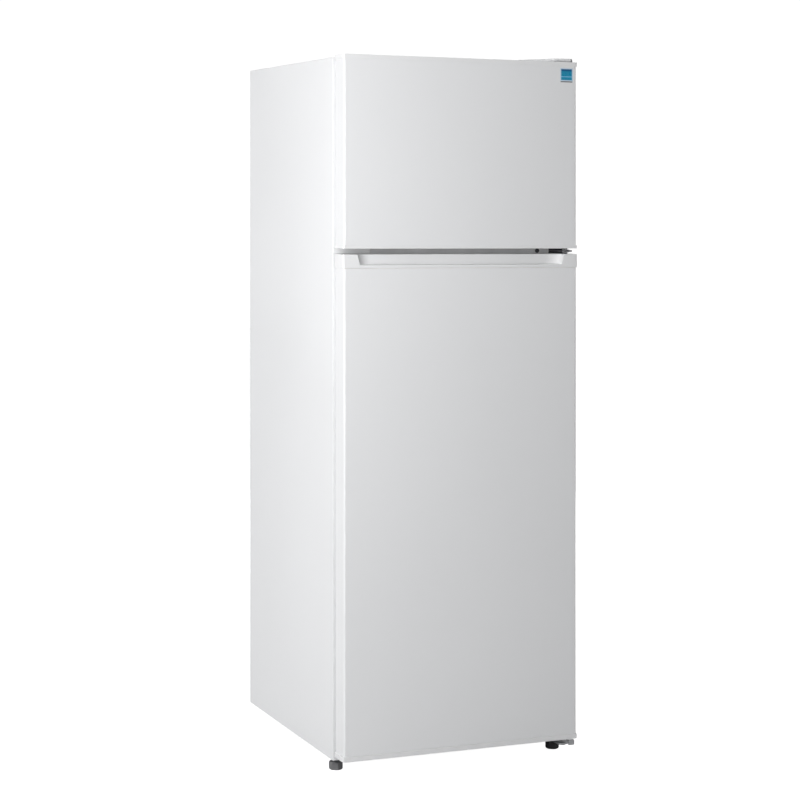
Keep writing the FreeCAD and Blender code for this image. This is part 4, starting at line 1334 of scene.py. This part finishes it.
# %% [markdown]
# ## Shelves
# The fridge shelves are toughened glass with a moulded trim at the front and back, resting on
# ledges formed in the walls. Each trim is a rounded bar with a slot for the glass cut into it.

# %% Glass shelves and their trims
SHELF = span("fridge_shelves")
shelf_levels = [450 * MM, 640 * MM, 830 * MM, span("crisper_cover")[2]]
panes = [
    block((SHELF[0], SHELF[1] + 2 * MM, low, SHELF[3], SHELF[4], low + 4 * MM), 3 * MM)
    for low in shelf_levels
]
fit("shelf_panes", softened(joined(*panes[:3]), 0.4 * MM, 2), GLASS, "fridge_shelves")
fit("crisper_pane", softened(panes[3], 0.4 * MM, 2), GLASS, "crisper_cover")
trims = []
for low in shelf_levels:
    for y0, y1 in (
        (SHELF[1] - 1.5 * MM, SHELF[1] + 12 * MM), (SHELF[4] - 10 * MM, SHELF[4] + 0.5 * MM)
    ):
        bar = block((SHELF[0], y0, low - 3 * MM, SHELF[3], y1, low + 6.5 * MM), 2.5 * MM, "X")
        slot_box = nudged((*SHELF[:2], low, *SHELF[3:5], low), -1, 3, -0.2, 1, -3, 4.2)
        trims.append(shaped(bar, block(slot_box)))
fit("shelf_trims", softened(joined(*trims), 0.4 * MM, 2), MOULDED)

ledge = block((-3.5 * MM, -165 * MM, -5 * MM, 3.5 * MM, 165 * MM, 0), 2 * MM, "Y")
ledge_mesh = []
for side in (-1, 1):
    x = side * (FRIDGE["half"] - THICK - 3 * MM)
    for low in shelf_levels[:3]:
        ledge_mesh.append(in_row(ledge.copy(), 1, (0, 0, 0.01), LINER, (x, 0.06, low - 3.2 * MM)))
fit("shelf_ledges", softened(joined(*ledge_mesh), 0.4 * MM, 2), LINER)

# %% [markdown]
# ## Freezer shelf
# The freezer shelf is a moulded grid of clear bars, so that cold air falls through it. It could be
# one plate with slots cut out. Bars are quicker and rounder: one bar is repeated by the row tree,
# and a border is swept round them.

# %% Freezer grid shelf
GRID = span("freezer_shelf")
rod_radius = 1.5 * MM
middle = (GRID[2] + GRID[5]) / 2
long_rod = lathe(
    [(rod_radius, GRID[1] + 2 * MM), (rod_radius, GRID[4] - 2 * MM)], (0, 0, middle), "Y", 10
)
ROD_COUNT = 27
step = (GRID[3] - GRID[0] - 12 * MM) / (ROD_COUNT - 1)
rods = in_row(long_rod, ROD_COUNT, (step, 0, 0), CLEAR, (GRID[0] + 6 * MM, 0, 0))
frame_path = [(x, y, middle) for x, y in plan(GRID, 2 * MM, 10 * MM)]
border = swept(frame_path, 3.6 * MM, 3.6 * MM, 1.5 * MM, CLEAR, True)
cross_rod = lathe(
    [(rod_radius, GRID[0] + 4 * MM), (rod_radius, GRID[3] - 4 * MM)], (0, 0, middle), "X", 10
)
crosses = in_row(cross_rod, 3, (0, (GRID[4] - GRID[1]) / 4, 0), CLEAR,
                 (0, GRID[1] + (GRID[4] - GRID[1]) / 4, 0))
shelf_mesh = joined(rods, border, crosses)
shelf_mesh.shade_smooth()
fit("freezer_grid_shelf", shelf_mesh, CLEAR, "freezer_shelf")

# %% [markdown]
# ## Rail between the doors
# What shows in the gap is a grey moulded rail with a pale moulded plug at the left end, where a
# left-hand hinge would go, and the middle hinge at the right, made near black as painted shade
# from the gap between the doors. The rail's face is a channel, so its long edges are rolled.

# %% Crossrail and plug
RAIL = span("crossrail")
rail = shaped(
    block(RAIL, 1.5 * MM, "X", (1, 0, 0, 1)),
    block(
        nudged(RAIL, -1, 1.2, 1.2, 1, 1, -1.2)
    ),
)
fit("gap_rail", softened(rail, 0.3 * MM, 2), RAIL_GREY, "crossrail")
PLUG = span("crossrail_plug_cover")
plug = block(PLUG, 1.2 * MM, "Y")
dimple = (
    PLUG[3] - 16 * MM, PLUG[1] - MM, PLUG[2] + 3 * MM, PLUG[3] - 6 * MM, PLUG[1] + 0.8 * MM,
    PLUG[5] - 3 * MM
)
plug = shaped(plug, block(dimple, 2 * MM, "Y"))
RAIL_SCREW = (0.205, RAIL[1], (RAIL[2] + RAIL[5]) / 2)
rail_screw = pan_head(5.2 * MM, 2.4 * MM)
rail_screw.transform(Matrix.Translation(RAIL_SCREW) @ Matrix.Rotation(math.pi / 2, 4, "X"))
# The rail screw is near black as painted shade from the gap between the doors.
fit("rail_screw", rail_screw, BRACKET_IN_PAINTED_SHADE)
fit("rail_plug", softened(plug, 0.4 * MM, 2), MOULDED, "crossrail_plug_cover")

# %% [markdown]
# ## Hinges
# The hinge plates are stamped from three millimetre steel with rounded corners. The pins stay
# plain. Each bracket is an outline with soft corners, folded where it meets the cabinet, and the
# screws sit on it.

# %% Hinge brackets
PIVOT = next(j["pos_m"] for j in frame["joints"] if j["name"] == "fridge_door_hinge")
PIN = 4 * MM


def pin(low, high):
    chamfer = 0.6 * MM
    profile = [
        (PIN - chamfer, low), (PIN, low + chamfer), (PIN, high - chamfer), (PIN - chamfer, high)
    ]
    return lathe(profile, (PIVOT[0], PIVOT[1], 0), steps=24)


MIDDLE = span("middle_hinge_bracket")
plate_low = (GRIP[5] + FREEZER_LOW) / 2 - 1.5 * MM
tongue = block(
    (MIDDLE[0], MIDDLE[1], plate_low, MIDDLE[3], FRONT, plate_low + 3 * MM), 8 * MM, "Z",
    (1, 1, 0, 0)
)
ear = block(
    (MIDDLE[0], FRONT - 3 * MM, plate_low - 6.5 * MM, MIDDLE[3], FRONT, plate_low + 9.5 * MM),
    3 * MM, "Y"
)
middle_mesh = joined(
    softened(shaped(tongue, ear, "UNION"), 0.5 * MM, 2),
    softened(pin(MIDDLE[2], MIDDLE[5]), 0, 1),
)
# The middle hinge is near black as painted shade: it stands in the shadow between the doors, and
# its own steel is paler.
fit("middle_hinge", middle_mesh, BRACKET_IN_PAINTED_SHADE, "middle_hinge_bracket")

LOWER = span("bottom_hinge_bracket")
plate_box = (LOWER[0], LOWER[1], FLOOR + 25 * MM, LOWER[3], LOWER[4], FLOOR + 28 * MM)
base_plate = block(plate_box, 7 * MM, "Z")
tab = block(
    (
        RIGHT - 16 * MM, LOWER[1], LOWER[2], RIGHT - 2 * MM, LOWER[1] + 3 * MM, FLOOR + 34 * MM
    ), 2 * MM, "Y"
)
HINGE_FOOT = span("levelling_foot_right")
foot_middle = ((HINGE_FOOT[0] + HINGE_FOOT[3]) / 2, (HINGE_FOOT[1] + HINGE_FOOT[4]) / 2, 0)
stem_cutter = lathe([(6 * MM, 0.02), (6 * MM, 0.03)], foot_middle, steps=24)
lower_mesh = joined(
    softened(shaped(shaped(base_plate, tab, "UNION"), stem_cutter), 0.5 * MM, 2),
    softened(pin(plate_box[5] - MM, LOWER[5]), 0, 1),
)
fit("bottom_hinge", lower_mesh, ZINC, "bottom_hinge_bracket")

BOSS = span("bottom_hinge_boss")
boss_centre = ((BOSS[0] + BOSS[3]) / 2, (BOSS[1] + BOSS[4]) / 2, 0)
boss_radius = (BOSS[3] - BOSS[0]) / 2
boss_profile = [
    (0, BOSS[2]),
    (boss_radius * 0.55, BOSS[2]),
    *[
        (boss_radius * (0.55 + 0.45 * math.sin(t)), BOSS[2] + 6 * MM * (1 - math.cos(t)))
        for t in (0.3, 0.6, 0.9, 1.2, 1.57)
    ],
    (boss_radius, BOSS[5]),
    (0, BOSS[5]),
]
fit(
    "hinge_boss", softened(lathe(boss_profile, boss_centre), 0.3 * MM, 2), COMPRESSOR_BLACK,
    "bottom_hinge_boss"
)

UPPER = span("top_hinge_bracket")
arm_low = DOOR_TOP + 0.6 * MM
arm = block((RIGHT - 32 * MM, UPPER[1], arm_low, UPPER[3], UPPER[4], arm_low + 2.5 * MM), 6 * MM)
wide = block((UPPER[0], FRONT + 3 * MM, arm_low, UPPER[3], UPPER[4], arm_low + 2.5 * MM), 6 * MM)
foot_block = block(
    (UPPER[0], FRONT + 3 * MM, SIDE[5] + SHEET, UPPER[3], UPPER[4], arm_low + MM), 6 * MM
)
upper_mesh = shaped(shaped(arm, wide, "UNION"), foot_block, "UNION")
upper_mesh = joined(softened(upper_mesh, 0.4 * MM, 2), softened(pin(UPPER[2], arm_low + MM), 0, 1))
fit("top_hinge", upper_mesh, ZINC, "top_hinge_bracket")

# %% [markdown]
# ## Screws in place
# The hinge screws stand on their plates and the pan screws run down both edges of the back. Each
# group is a list of points, and the scatter tree sets one head on every point.

# %% Screws on the hinges and round the back pan
plate_top = arm_low + 2.5 * MM
top_spots, low_spots = [(-55, 20), (-15, 20), (-35, 42)], [(-34, 12), (-34, 40), (-10, 40)]
top_places = [(RIGHT + x * MM, FRONT + y * MM, plate_top) for x, y in top_spots]
screws("top_hinge_screws", top_places, (0, 0, 0), ZINC, "hinge_screws")
low_places = [(RIGHT + x * MM, FRONT + y * MM, 25 * MM) for x, y in low_spots]
screws("bottom_hinge_screws", low_places, (math.pi, 0, 0), ZINC)
mid_places = [(MIDDLE[0] + dx * MM, FRONT - 3 * MM, plate_low + 1.5 * MM + dz * MM)
              for dx, dz in ((6, 4.6), (20, 4.6), (32, 4.6))]
# These screws share the middle hinge's near black, which is painted shade.
mid_mesh = grown(SCATTER, points_mesh(mid_places), Shape=temporary(pan_head(2.6 * MM, 1.6 * MM)),
                 Turn=(math.pi / 2, 0, 0), Material=BRACKET_IN_PAINTED_SHADE)
fit("middle_hinge_screws", mid_mesh, BRACKET_IN_PAINTED_SHADE)

pan_places = []
SCREW_STEP = 0.16
rows = int((PAN[5] - PAN[2] - 0.04) / SCREW_STEP)
for number in range(rows + 1):
    height = PAN[2] + 0.02 + number * (PAN[5] - PAN[2] - 0.04) / rows
    pan_places += [(x, PAN[4] - 1.7 * MM, height) for x in (PAN[0] + 0.012, PAN[3] - 0.012)]
small_screw = temporary(pan_head(3.2 * MM, 1.6 * MM))
pan_screws = grown(SCATTER, points_mesh(pan_places), Shape=small_screw, Turn=(-math.pi / 2, 0, 0),
                   Material=ZINC)
fit("back_pan_screws", pan_screws, ZINC)

# %% [markdown]
# ## Top hinge cover
# A moulded cover hides the top hinge. It is highest at the right and falls a little to the left,
# and its front edge runs back at a slant. The outline is pulled up to a sloping lid.

# %% Hinge cover
HOOD = span("top_hinge_cover")
hood_outline = [
    (RIGHT - 46 * MM, DOOR_FRONT + 14 * MM),
    *arc((RIGHT - 11 * MM, DOOR_FRONT + 22.5 * MM), 10.4 * MM, -90, 0, 8),
    *arc((RIGHT - 8.6 * MM, FRONT + 54 * MM), 8 * MM, 0, 90, 6),
    *arc((RIGHT - 96 * MM, FRONT + 54 * MM), 8 * MM, 90, 180, 6),
    (RIGHT - 104 * MM, FRONT + 18 * MM),
]
HOOD_FALL = 2.4 * MM / (104 * MM)
HOLLOW = (RIGHT, HOOD[1] + 4.5 * MM, SIDE[5], RIGHT, FRONT, DOOR_TOP)
lean = 4 * MM
hood_lid = [
    (x, y + lean * min(1.0, max(0.0, (FRONT - y) / (30 * MM)))) for x, y in hood_outline
]
hood = prism(
    hood_outline,
    SIDE[5] + SHEET,
    lambda point: HOOD[5] - (RIGHT - 0.6 * MM - point[0]) * HOOD_FALL,
    top=hood_lid,
)
hood = softened(hood, 2.4 * MM, 4)
door_clear = (
    RIGHT - 120 * MM, DOOR_FRONT - MM, SIDE[5] - MM, RIGHT + MM, FRONT + MM, DOOR_TOP + 0.7 * MM
)
hood = shaped(hood, block(door_clear))
hood = shaped(hood, block(nudged(HOLLOW, -33, 0, -1, -4, 50, 5)))
hood = shaped(hood, block(nudged((*HOLLOW[:1], FRONT, *HOLLOW[2:]), -69, 2.5, -1, -4, 50, 4)))
fit("hinge_cover", softened(hood, 0), MOULDED, "top_hinge_cover")

# %% [markdown]
# ## Feet and rollers
# The front stands on two hexagonal screw feet and the back on two rollers. The foot is a
# six-sided prism with its corners turned off, on a threaded stem. The thread is a row of rings,
# which reads the same as a helix at this size.

# %% Levelling feet


def levelling_foot(side):
    node = f"levelling_foot_{side}"
    box = span(node)
    centre = ((box[0] + box[3]) / 2, (box[1] + box[4]) / 2, 0)
    half = (box[3] - box[0]) / 2
    reach = half / math.cos(math.radians(30))
    hexagon = [
        (
            centre[0] + reach * math.cos(math.radians(a)),
            centre[1] + reach * math.sin(math.radians(a))
        )
        for a in range(30, 390, 60)
    ]
    head = prism(hexagon, box[2], box[2] + 16.5 * MM)
    turned = lathe(
        [(reach * 0.9, box[2]), (reach * 1.0, box[2] + 2 * MM), (reach * 1.0, box[2] + 14 * MM),
         (reach * 0.9, box[2] + 16.5 * MM)],
        centre,
    )
    head = softened(shaped(head, turned, "INTERSECT"), 0.5 * MM, 2)
    stem = lathe([(4.5 * MM, box[2] + 15 * MM), (4.5 * MM, box[5])], centre, steps=24)
    ridge = lathe(
        [(4.4 * MM, 0), (5.0 * MM, 0.55 * MM), (4.4 * MM, 1.1 * MM)], (*centre[:2], 0), steps=24
    )
    turns = int((box[5] - box[2] - 18 * MM) / (1.25 * MM))
    thread = in_row(ridge, turns, (0, 0, 1.25 * MM), FOOT_GREY, (0, 0, box[2] + 17 * MM))
    # The right foot is the same grey foot as the left; its black finish is painted shade, since it
    # stands in shadow under the door and hinge.
    finish = FOOT_GREY if side == "left" else BLACK_MOULD_AND_FOOT_SHADE
    return fit(f"foot_{side}", joined(head, stem, thread), finish, node, body=f"foot_{side}")


for side in ("left", "right"):
    levelling_foot(side)

# %% [markdown]
# ## Rear rollers
# A rear roller is a moulded wheel with a dished side and a bore for its axle. Its whole section is
# turned in one go, and the end caps are removed so that the bore stays open.

# %% Rear rollers


def roller(side):
    node = f"rear_roller_{side}"
    box = span(node)
    centre = (0, (box[1] + box[4]) / 2, (box[2] + box[5]) / 2)
    radius, hub, bore = (box[4] - box[1]) / 2, 9 * MM, 4.3 * MM
    x0, x1 = box[0], box[3]
    dish = 3 * MM
    profile = [
        (bore, x0), (hub, x0), (hub + MM, x0 + dish), (
            radius - 5 * MM, x0 + dish
        ), (radius - 4 * MM, x0 + MM),
        (radius - MM, x0 + MM), (
            radius, x0 + 2.5 * MM
        ), (radius, x1 - 2.5 * MM), (radius - MM, x1 - MM),
        (radius - 4 * MM, x1 - MM), (
            radius - 5 * MM, x1 - dish
        ), (hub + MM, x1 - dish), (hub, x1), (bore, x1),
        (bore, x0),
    ]
    wheel = lathe(profile, centre, "X", 40)
    shape = bmesh.new()
    shape.from_mesh(wheel)
    ends = [face for face in shape.faces if len(face.verts) > 4]
    bmesh.ops.delete(shape, geom=ends, context="FACES_ONLY")
    bmesh.ops.remove_doubles(shape, verts=shape.verts, dist=1e-6)
    bmesh.ops.recalc_face_normals(shape, faces=shape.faces)
    shape.to_mesh(wheel)
    shape.free()
    return fit(
        f"roller_{side}", softened(wheel, 0.3 * MM, 2), BLACK_MOULD_AND_FOOT_SHADE, node, body=f"roller_{side}"
    )


for side in ("left", "right"):
    roller(side)

# %% [markdown]
# ## Machinery
# Behind the step at the back sits the compressor, a deep-drawn steel pot in two halves welded
# round the middle, on rubber grommets. Its round parts are turned profiles and its pipes are
# round bars swept along their route.

# %% Compressor and its fittings
POT = span("compressor")
pot_centre = ((POT[0] + POT[3]) / 2, (POT[1] + POT[4]) / 2, 0)
pot_low, pot_top, pot_radius = 46 * MM, POT[5], 68 * MM
pot_round = 30 * MM
seam_level = (pot_low + pot_top) / 2 - 6 * MM
pot_profile = [(0, pot_low)]
pot_profile += [
    (
        pot_radius - pot_round + pot_round * math.sin(t),
        pot_low + pot_round - pot_round * math.cos(t)
    )
    for t in [math.pi / 2 * n / 8 for n in range(9)]
]
pot_profile += [
    (pot_radius, seam_level - 3 * MM),
    (pot_radius + 1.8 * MM, seam_level - 2 * MM),
    (pot_radius + 1.8 * MM, seam_level + 2 * MM),
    (pot_radius - 0.5 * MM, seam_level + 3 * MM),
]
pot_profile += [
    (
        pot_radius - 0.5 * MM - pot_round + pot_round * math.cos(t),
        pot_top - pot_round + pot_round * math.sin(t)
    )
    for t in [math.pi / 2 * n / 8 for n in range(9)]
]
pot_profile.append((0, pot_top))
saddle_box = (POT[0], POT[1] + 10 * MM, 40 * MM, POT[3], POT[4] - 10 * MM, 43 * MM)
pot_mesh = joined(
    softened(lathe(pot_profile, pot_centre, steps=64), 0, 1),
    softened(block(saddle_box, 14 * MM), 0.8 * MM, 2),
    softened(block(nudged((*POT[:2], 0, *POT[3:5], 0), 22, 25, 42, -22, -25, 50),
                   10 * MM), 0.8 * MM, 2),
)
fit("compressor_pot", pot_mesh, COMPRESSOR_BLACK, "compressor")

GROMMETS = span("compressor_grommets")
grommet_profile = [
    (10 * MM, 30 * MM), (10 * MM, 33 * MM), (
        7.5 * MM, 34.5 * MM
    ), (7.5 * MM, 36 * MM), (10 * MM, 37.5 * MM),
    (10 * MM, 40 * MM),
]
corner_x = (GROMMETS[0] + 10 * MM, GROMMETS[3] - 10 * MM)
corner_y = (GROMMETS[1] + 10 * MM, GROMMETS[4] - 10 * MM)
grommets = [
    softened(lathe(grommet_profile, (x, y, 0), steps=24), 0.4 * MM, 2)
    for x in corner_x
    for y in corner_y
]
fit("pot_grommets", joined(*grommets), RUBBER, "compressor_grommets")

BOX = span("terminal_cover")
fit("relay_cover", softened(block(BOX, 6 * MM, "X"), 1.5 * MM), BLACK_MOULD_AND_FOOT_SHADE, "terminal_cover")
DRIER = span("filter_drier")
drier_middle = (0, (DRIER[1] + DRIER[4]) / 2, (DRIER[2] + DRIER[5]) / 2)
drier_profile = [
    (0, DRIER[0]), (4 * MM, DRIER[0]), (4.5 * MM, DRIER[0] + 8 * MM), (9 * MM, DRIER[0] + 18 * MM),
    (9 * MM, DRIER[3] - 18 * MM), (4.5 * MM, DRIER[3] - 8 * MM), (3 * MM, DRIER[3]), (0, DRIER[3]),
]
fit(
    "drier_pod", softened(lathe(drier_profile, drier_middle, "X", 32), 0.6 * MM, 2), COPPER,
    "filter_drier"
)

# %% [markdown]
# ## Pipes, drip tray and gland
# Copper pipe is bent on a former, so every corner has the same radius. The route is a few points
# with rounded corners, and a round bar is swept along it.

# %% Pipes, drip tray and gland
suction_route = [(-128, 205, 110), (-190, 205, 110), (-190, 285, 110), (-190, 285, 216)]


def bent_route(points, radius, steps=7):
    """The route with each corner turned on an arc, in metres."""
    corners = [Vector(point) * MM for point in points]
    route = [corners[0]]
    for before, here, after in zip(corners, corners[1:], corners[2:]):
        into, out = (here - before).normalized(), (after - here).normalized()
        trim = radius * math.tan(into.angle(out) / 2)
        start, end = here - into * trim, here + out * trim
        for number in range(steps + 1):
            share = number / steps
            route.append(start.lerp(here, share).lerp(here.lerp(end, share), share))
    route.append(corners[-1])
    return [tuple(point) for point in route]


pipes = joined(
    swept(bent_route(suction_route, 18 * MM), 8 * MM, 8 * MM, 3.9 * MM, COPPER),
    swept([(-2 * MM, 0.166, 0.12), (0.092, 0.166, 0.12)], 6 * MM, 6 * MM, 2.9 * MM, COPPER),
)
fit("pipe_run", pipes, COPPER, "refrigerant_tubes")
clear = span("drip_tray")
tray_mesh = shaped(
    block(clear, 12 * MM),
    block(nudged(clear, 2, 2, 2, -2, -2, 1), 10 * MM),
)
fit("defrost_tray", softened(tray_mesh, 0.5 * MM, 2), BLACK_MOULD_AND_FOOT_SHADE, "drip_tray")
GLAND = span("cord_gland")
gland_centre = ((GLAND[0] + GLAND[3]) / 2, (GLAND[1] + GLAND[4]) / 2, 0)
gland_profile = [
    (0, GLAND[2]), (11 * MM, GLAND[2]), (11 * MM, GLAND[2] + 8 * MM),
    (8 * MM, GLAND[2] + 10 * MM), (8 * MM, GLAND[5] - 2 * MM), (6 * MM, GLAND[5]), (0, GLAND[5]),
]
fit(
    "inlet_gland", softened(lathe(gland_profile, gland_centre, steps=32), 0.5 * MM, 2), BLACK_MOULD_AND_FOOT_SHADE,
    "cord_gland"
)

# %% [markdown]
# ## Floor strip
# The step panel and the floor plate leave a narrow slot between them, and a thin block closes it.
# It could be folded from the panel itself, but a plain strip is simpler and is hardly seen.

# %% Strip that closes the machine floor
STEP_PANEL = span("machine_step_panel")
RAIL_PLATE = span("compressor_rail")
strip_box = nudged((*STEP_PANEL[:4], RAIL_PLATE[1], STEP_PANEL[2]), 1, -2, 0.2, -1, 4, 1.2)
fit("machine_floor_strip", softened(block(strip_box), 0.3 * MM, 1), ZINC)

# %% [markdown]
# ## Controls
# The control housing hangs from the fridge ceiling with a ribbed lamp lens and a knurled dial.
# The dial's knurl is a ring of small ridges, and its face carries the plain numbers that any such
# dial has.

# %% Control housing, lens and dial
HOUSE = span("control_box")
lens_box = span("lamp_lens")
house = block(HOUSE, 10 * MM, "X", (1, 1, 0, 0))
well = (lens_box[0] - 0.5 * MM, HOUSE[1] - MM, lens_box[2] - 0.5 * MM, lens_box[3] + 0.5 * MM,
        lens_box[4] + 4 * MM, lens_box[5] + 0.5 * MM)
house = shaped(house, block(well, 3 * MM, "Y"))
DIAL = span("thermostat_dial")
dial_x, dial_z = (DIAL[0] + DIAL[3]) / 2, (DIAL[2] + DIAL[5]) / 2
house = shaped(
    house,
    lathe([(3.4 * MM, HOUSE[1] - MM), (3.4 * MM, HOUSE[1] + 16 * MM)], (dial_x, 0, dial_z), "Y", 24)
)
fit("control_housing", softened(house, 1.2 * MM), MOULDED, "control_box")
lens = block(lens_box, 3 * MM, "Y")
rib = block((-0.7 * MM, lens_box[1], lens_box[2] + 3 * MM, 0.7 * MM, lens_box[1] + 1.2 * MM,
             lens_box[5] - 3 * MM), 0.5 * MM, "Z")
flutes = in_row(rib, 18, (5 * MM, 0, 0), OPAL, (lens_box[0] + 7 * MM, -0.4 * MM, 0))
fit("lens_fluted", joined(softened(lens, 0.8 * MM, 2), flutes), OPAL, "lamp_lens")

dial_centre = (dial_x, 0, dial_z)
dial_front = DIAL[1]
dial_profile = [
    (0, dial_front), (11 * MM, dial_front), (12.5 * MM, dial_front + MM), (
        14.5 * MM, dial_front + 2 * MM
    ),
    (
        15.2 * MM, dial_front + 8.5 * MM
    ), (15 * MM, dial_front + 9.5 * MM), (0, dial_front + 9.5 * MM),
]
knurl = []
for number in range(36):
    turn = math.radians(10 * number)
    ridge = block(
        (-0.6 * MM, dial_front + 2.6 * MM, 14.2 * MM, 0.6 * MM, dial_front + 8.6 * MM, 15.9 * MM)
    )
    ridge.transform(Matrix.Translation((dial_x, 0, dial_z)) @ Matrix.Rotation(turn, 4, "Y"))
    knurl.append(ridge)
pointer = block((dial_x - MM, dial_front, dial_z + 3 * MM, dial_x + MM, dial_front + 0.9 * MM,
                 dial_z + 11.5 * MM), 0.8 * MM, "Y")
stem = lathe([(3 * MM, dial_front + 9 * MM), (3 * MM, DIAL[4])], dial_centre, "Y", 24)
fit(
    "cold_dial",
    joined(softened(lathe(dial_profile, dial_centre, "Y", 48), 0.4 * MM, 2), *knurl, stem), MOULDED,
    "thermostat_dial", body="dial"
)
fit("dial_pointer", softened(pointer, 0.2 * MM, 1), INK_GREY, body="dial")

# %% [markdown]
# ## Dial numbers
# The dial needs numbers to point at. Plain figures from the built-in typeface are thickened
# slightly and laid on the face of the housing.

# %% Numbers round the dial
digits = []
for number in range(1, 8):
    turn = math.radians(215 - 36 * (number - 1))
    text = bpy.data.curves.new("digit", "FONT")
    text.body = str(number)
    text.size = 5.2 * MM
    text.align_x = "CENTER"
    text.align_y = "CENTER"
    text.extrude = 0.12 * MM
    item = bpy.data.objects.new("digit", text)
    scene.collection.objects.link(item)
    mesh = plain_mesh(item)
    reach = 19 * MM
    spot = (dial_x + reach * math.cos(turn), HOUSE[1] - 0.05 * MM, dial_z + reach * math.sin(turn))
    mesh.transform(Matrix.Translation(spot) @ Matrix.Rotation(math.pi / 2, 4, "X"))
    digits.append(mesh)
fit("dial_numbers", joined(*digits), INK_GREY)

# %% [markdown]
# ## What the frame already has right
# The plain plates, the washers, the nuts and the hidden foam are already the right shape, so they
# keep their own meshes and only take a finish.

# %% Finishes for the parts that stay
STAYING = {
    "machine_step_panel": ZINC,
    "base_panel": ZINC,
    "compressor_rail": ZINC,
    "roller_axles": ZINC,
    "cabinet_insulation": FOAM,
    "hinge_washers": MOULDED,
    "fridge_door_insulation": FOAM,
    "freezer_door_insulation": FOAM,
    "freezer_door_sticker": FILM,
    "door_switch_body": MOULDED,
    "door_switch_plunger": MOULDED,
    "evaporator_plate": ALUMINIUM,
    "condenser_loop": COPPER,
    "foot_nuts": ZINC,
}
for node, material in STAYING.items():
    item = frame["nodes"][node]
    item.data.materials.clear()
    item.data.materials.append(material)
for template in [o for o in scene.objects if o.name.startswith("workpiece")]:
    bpy.data.objects.remove(template)
print(len(made), "pieces made,", len(STAYING), "parts kept as they are")

# %% [markdown]
# ## Label line
# A thin grey line runs under the label on the door. It is a flat block of its own, because the
# label itself is one plain sheet.

# %% Line under the label
LABEL = span("freezer_door_sticker")
strip = block(
    (
        LABEL[0] + MM, LABEL[1] + 0.05 * MM, LABEL[2] - 2.6 * MM, LABEL[3] - MM, LABEL[4],
        LABEL[2] - 0.4 * MM
    )
)
fit("label_strip", strip, INK_GREY, body="freezer_door")

# %% [markdown]
# ## Check the size
# The pieces must stay inside the box that was settled first, so both boxes are written down.

# %% Sizes and finish
low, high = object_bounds()
print("visual box", [round(v, 4) for v in low], [round(v, 4) for v in high])
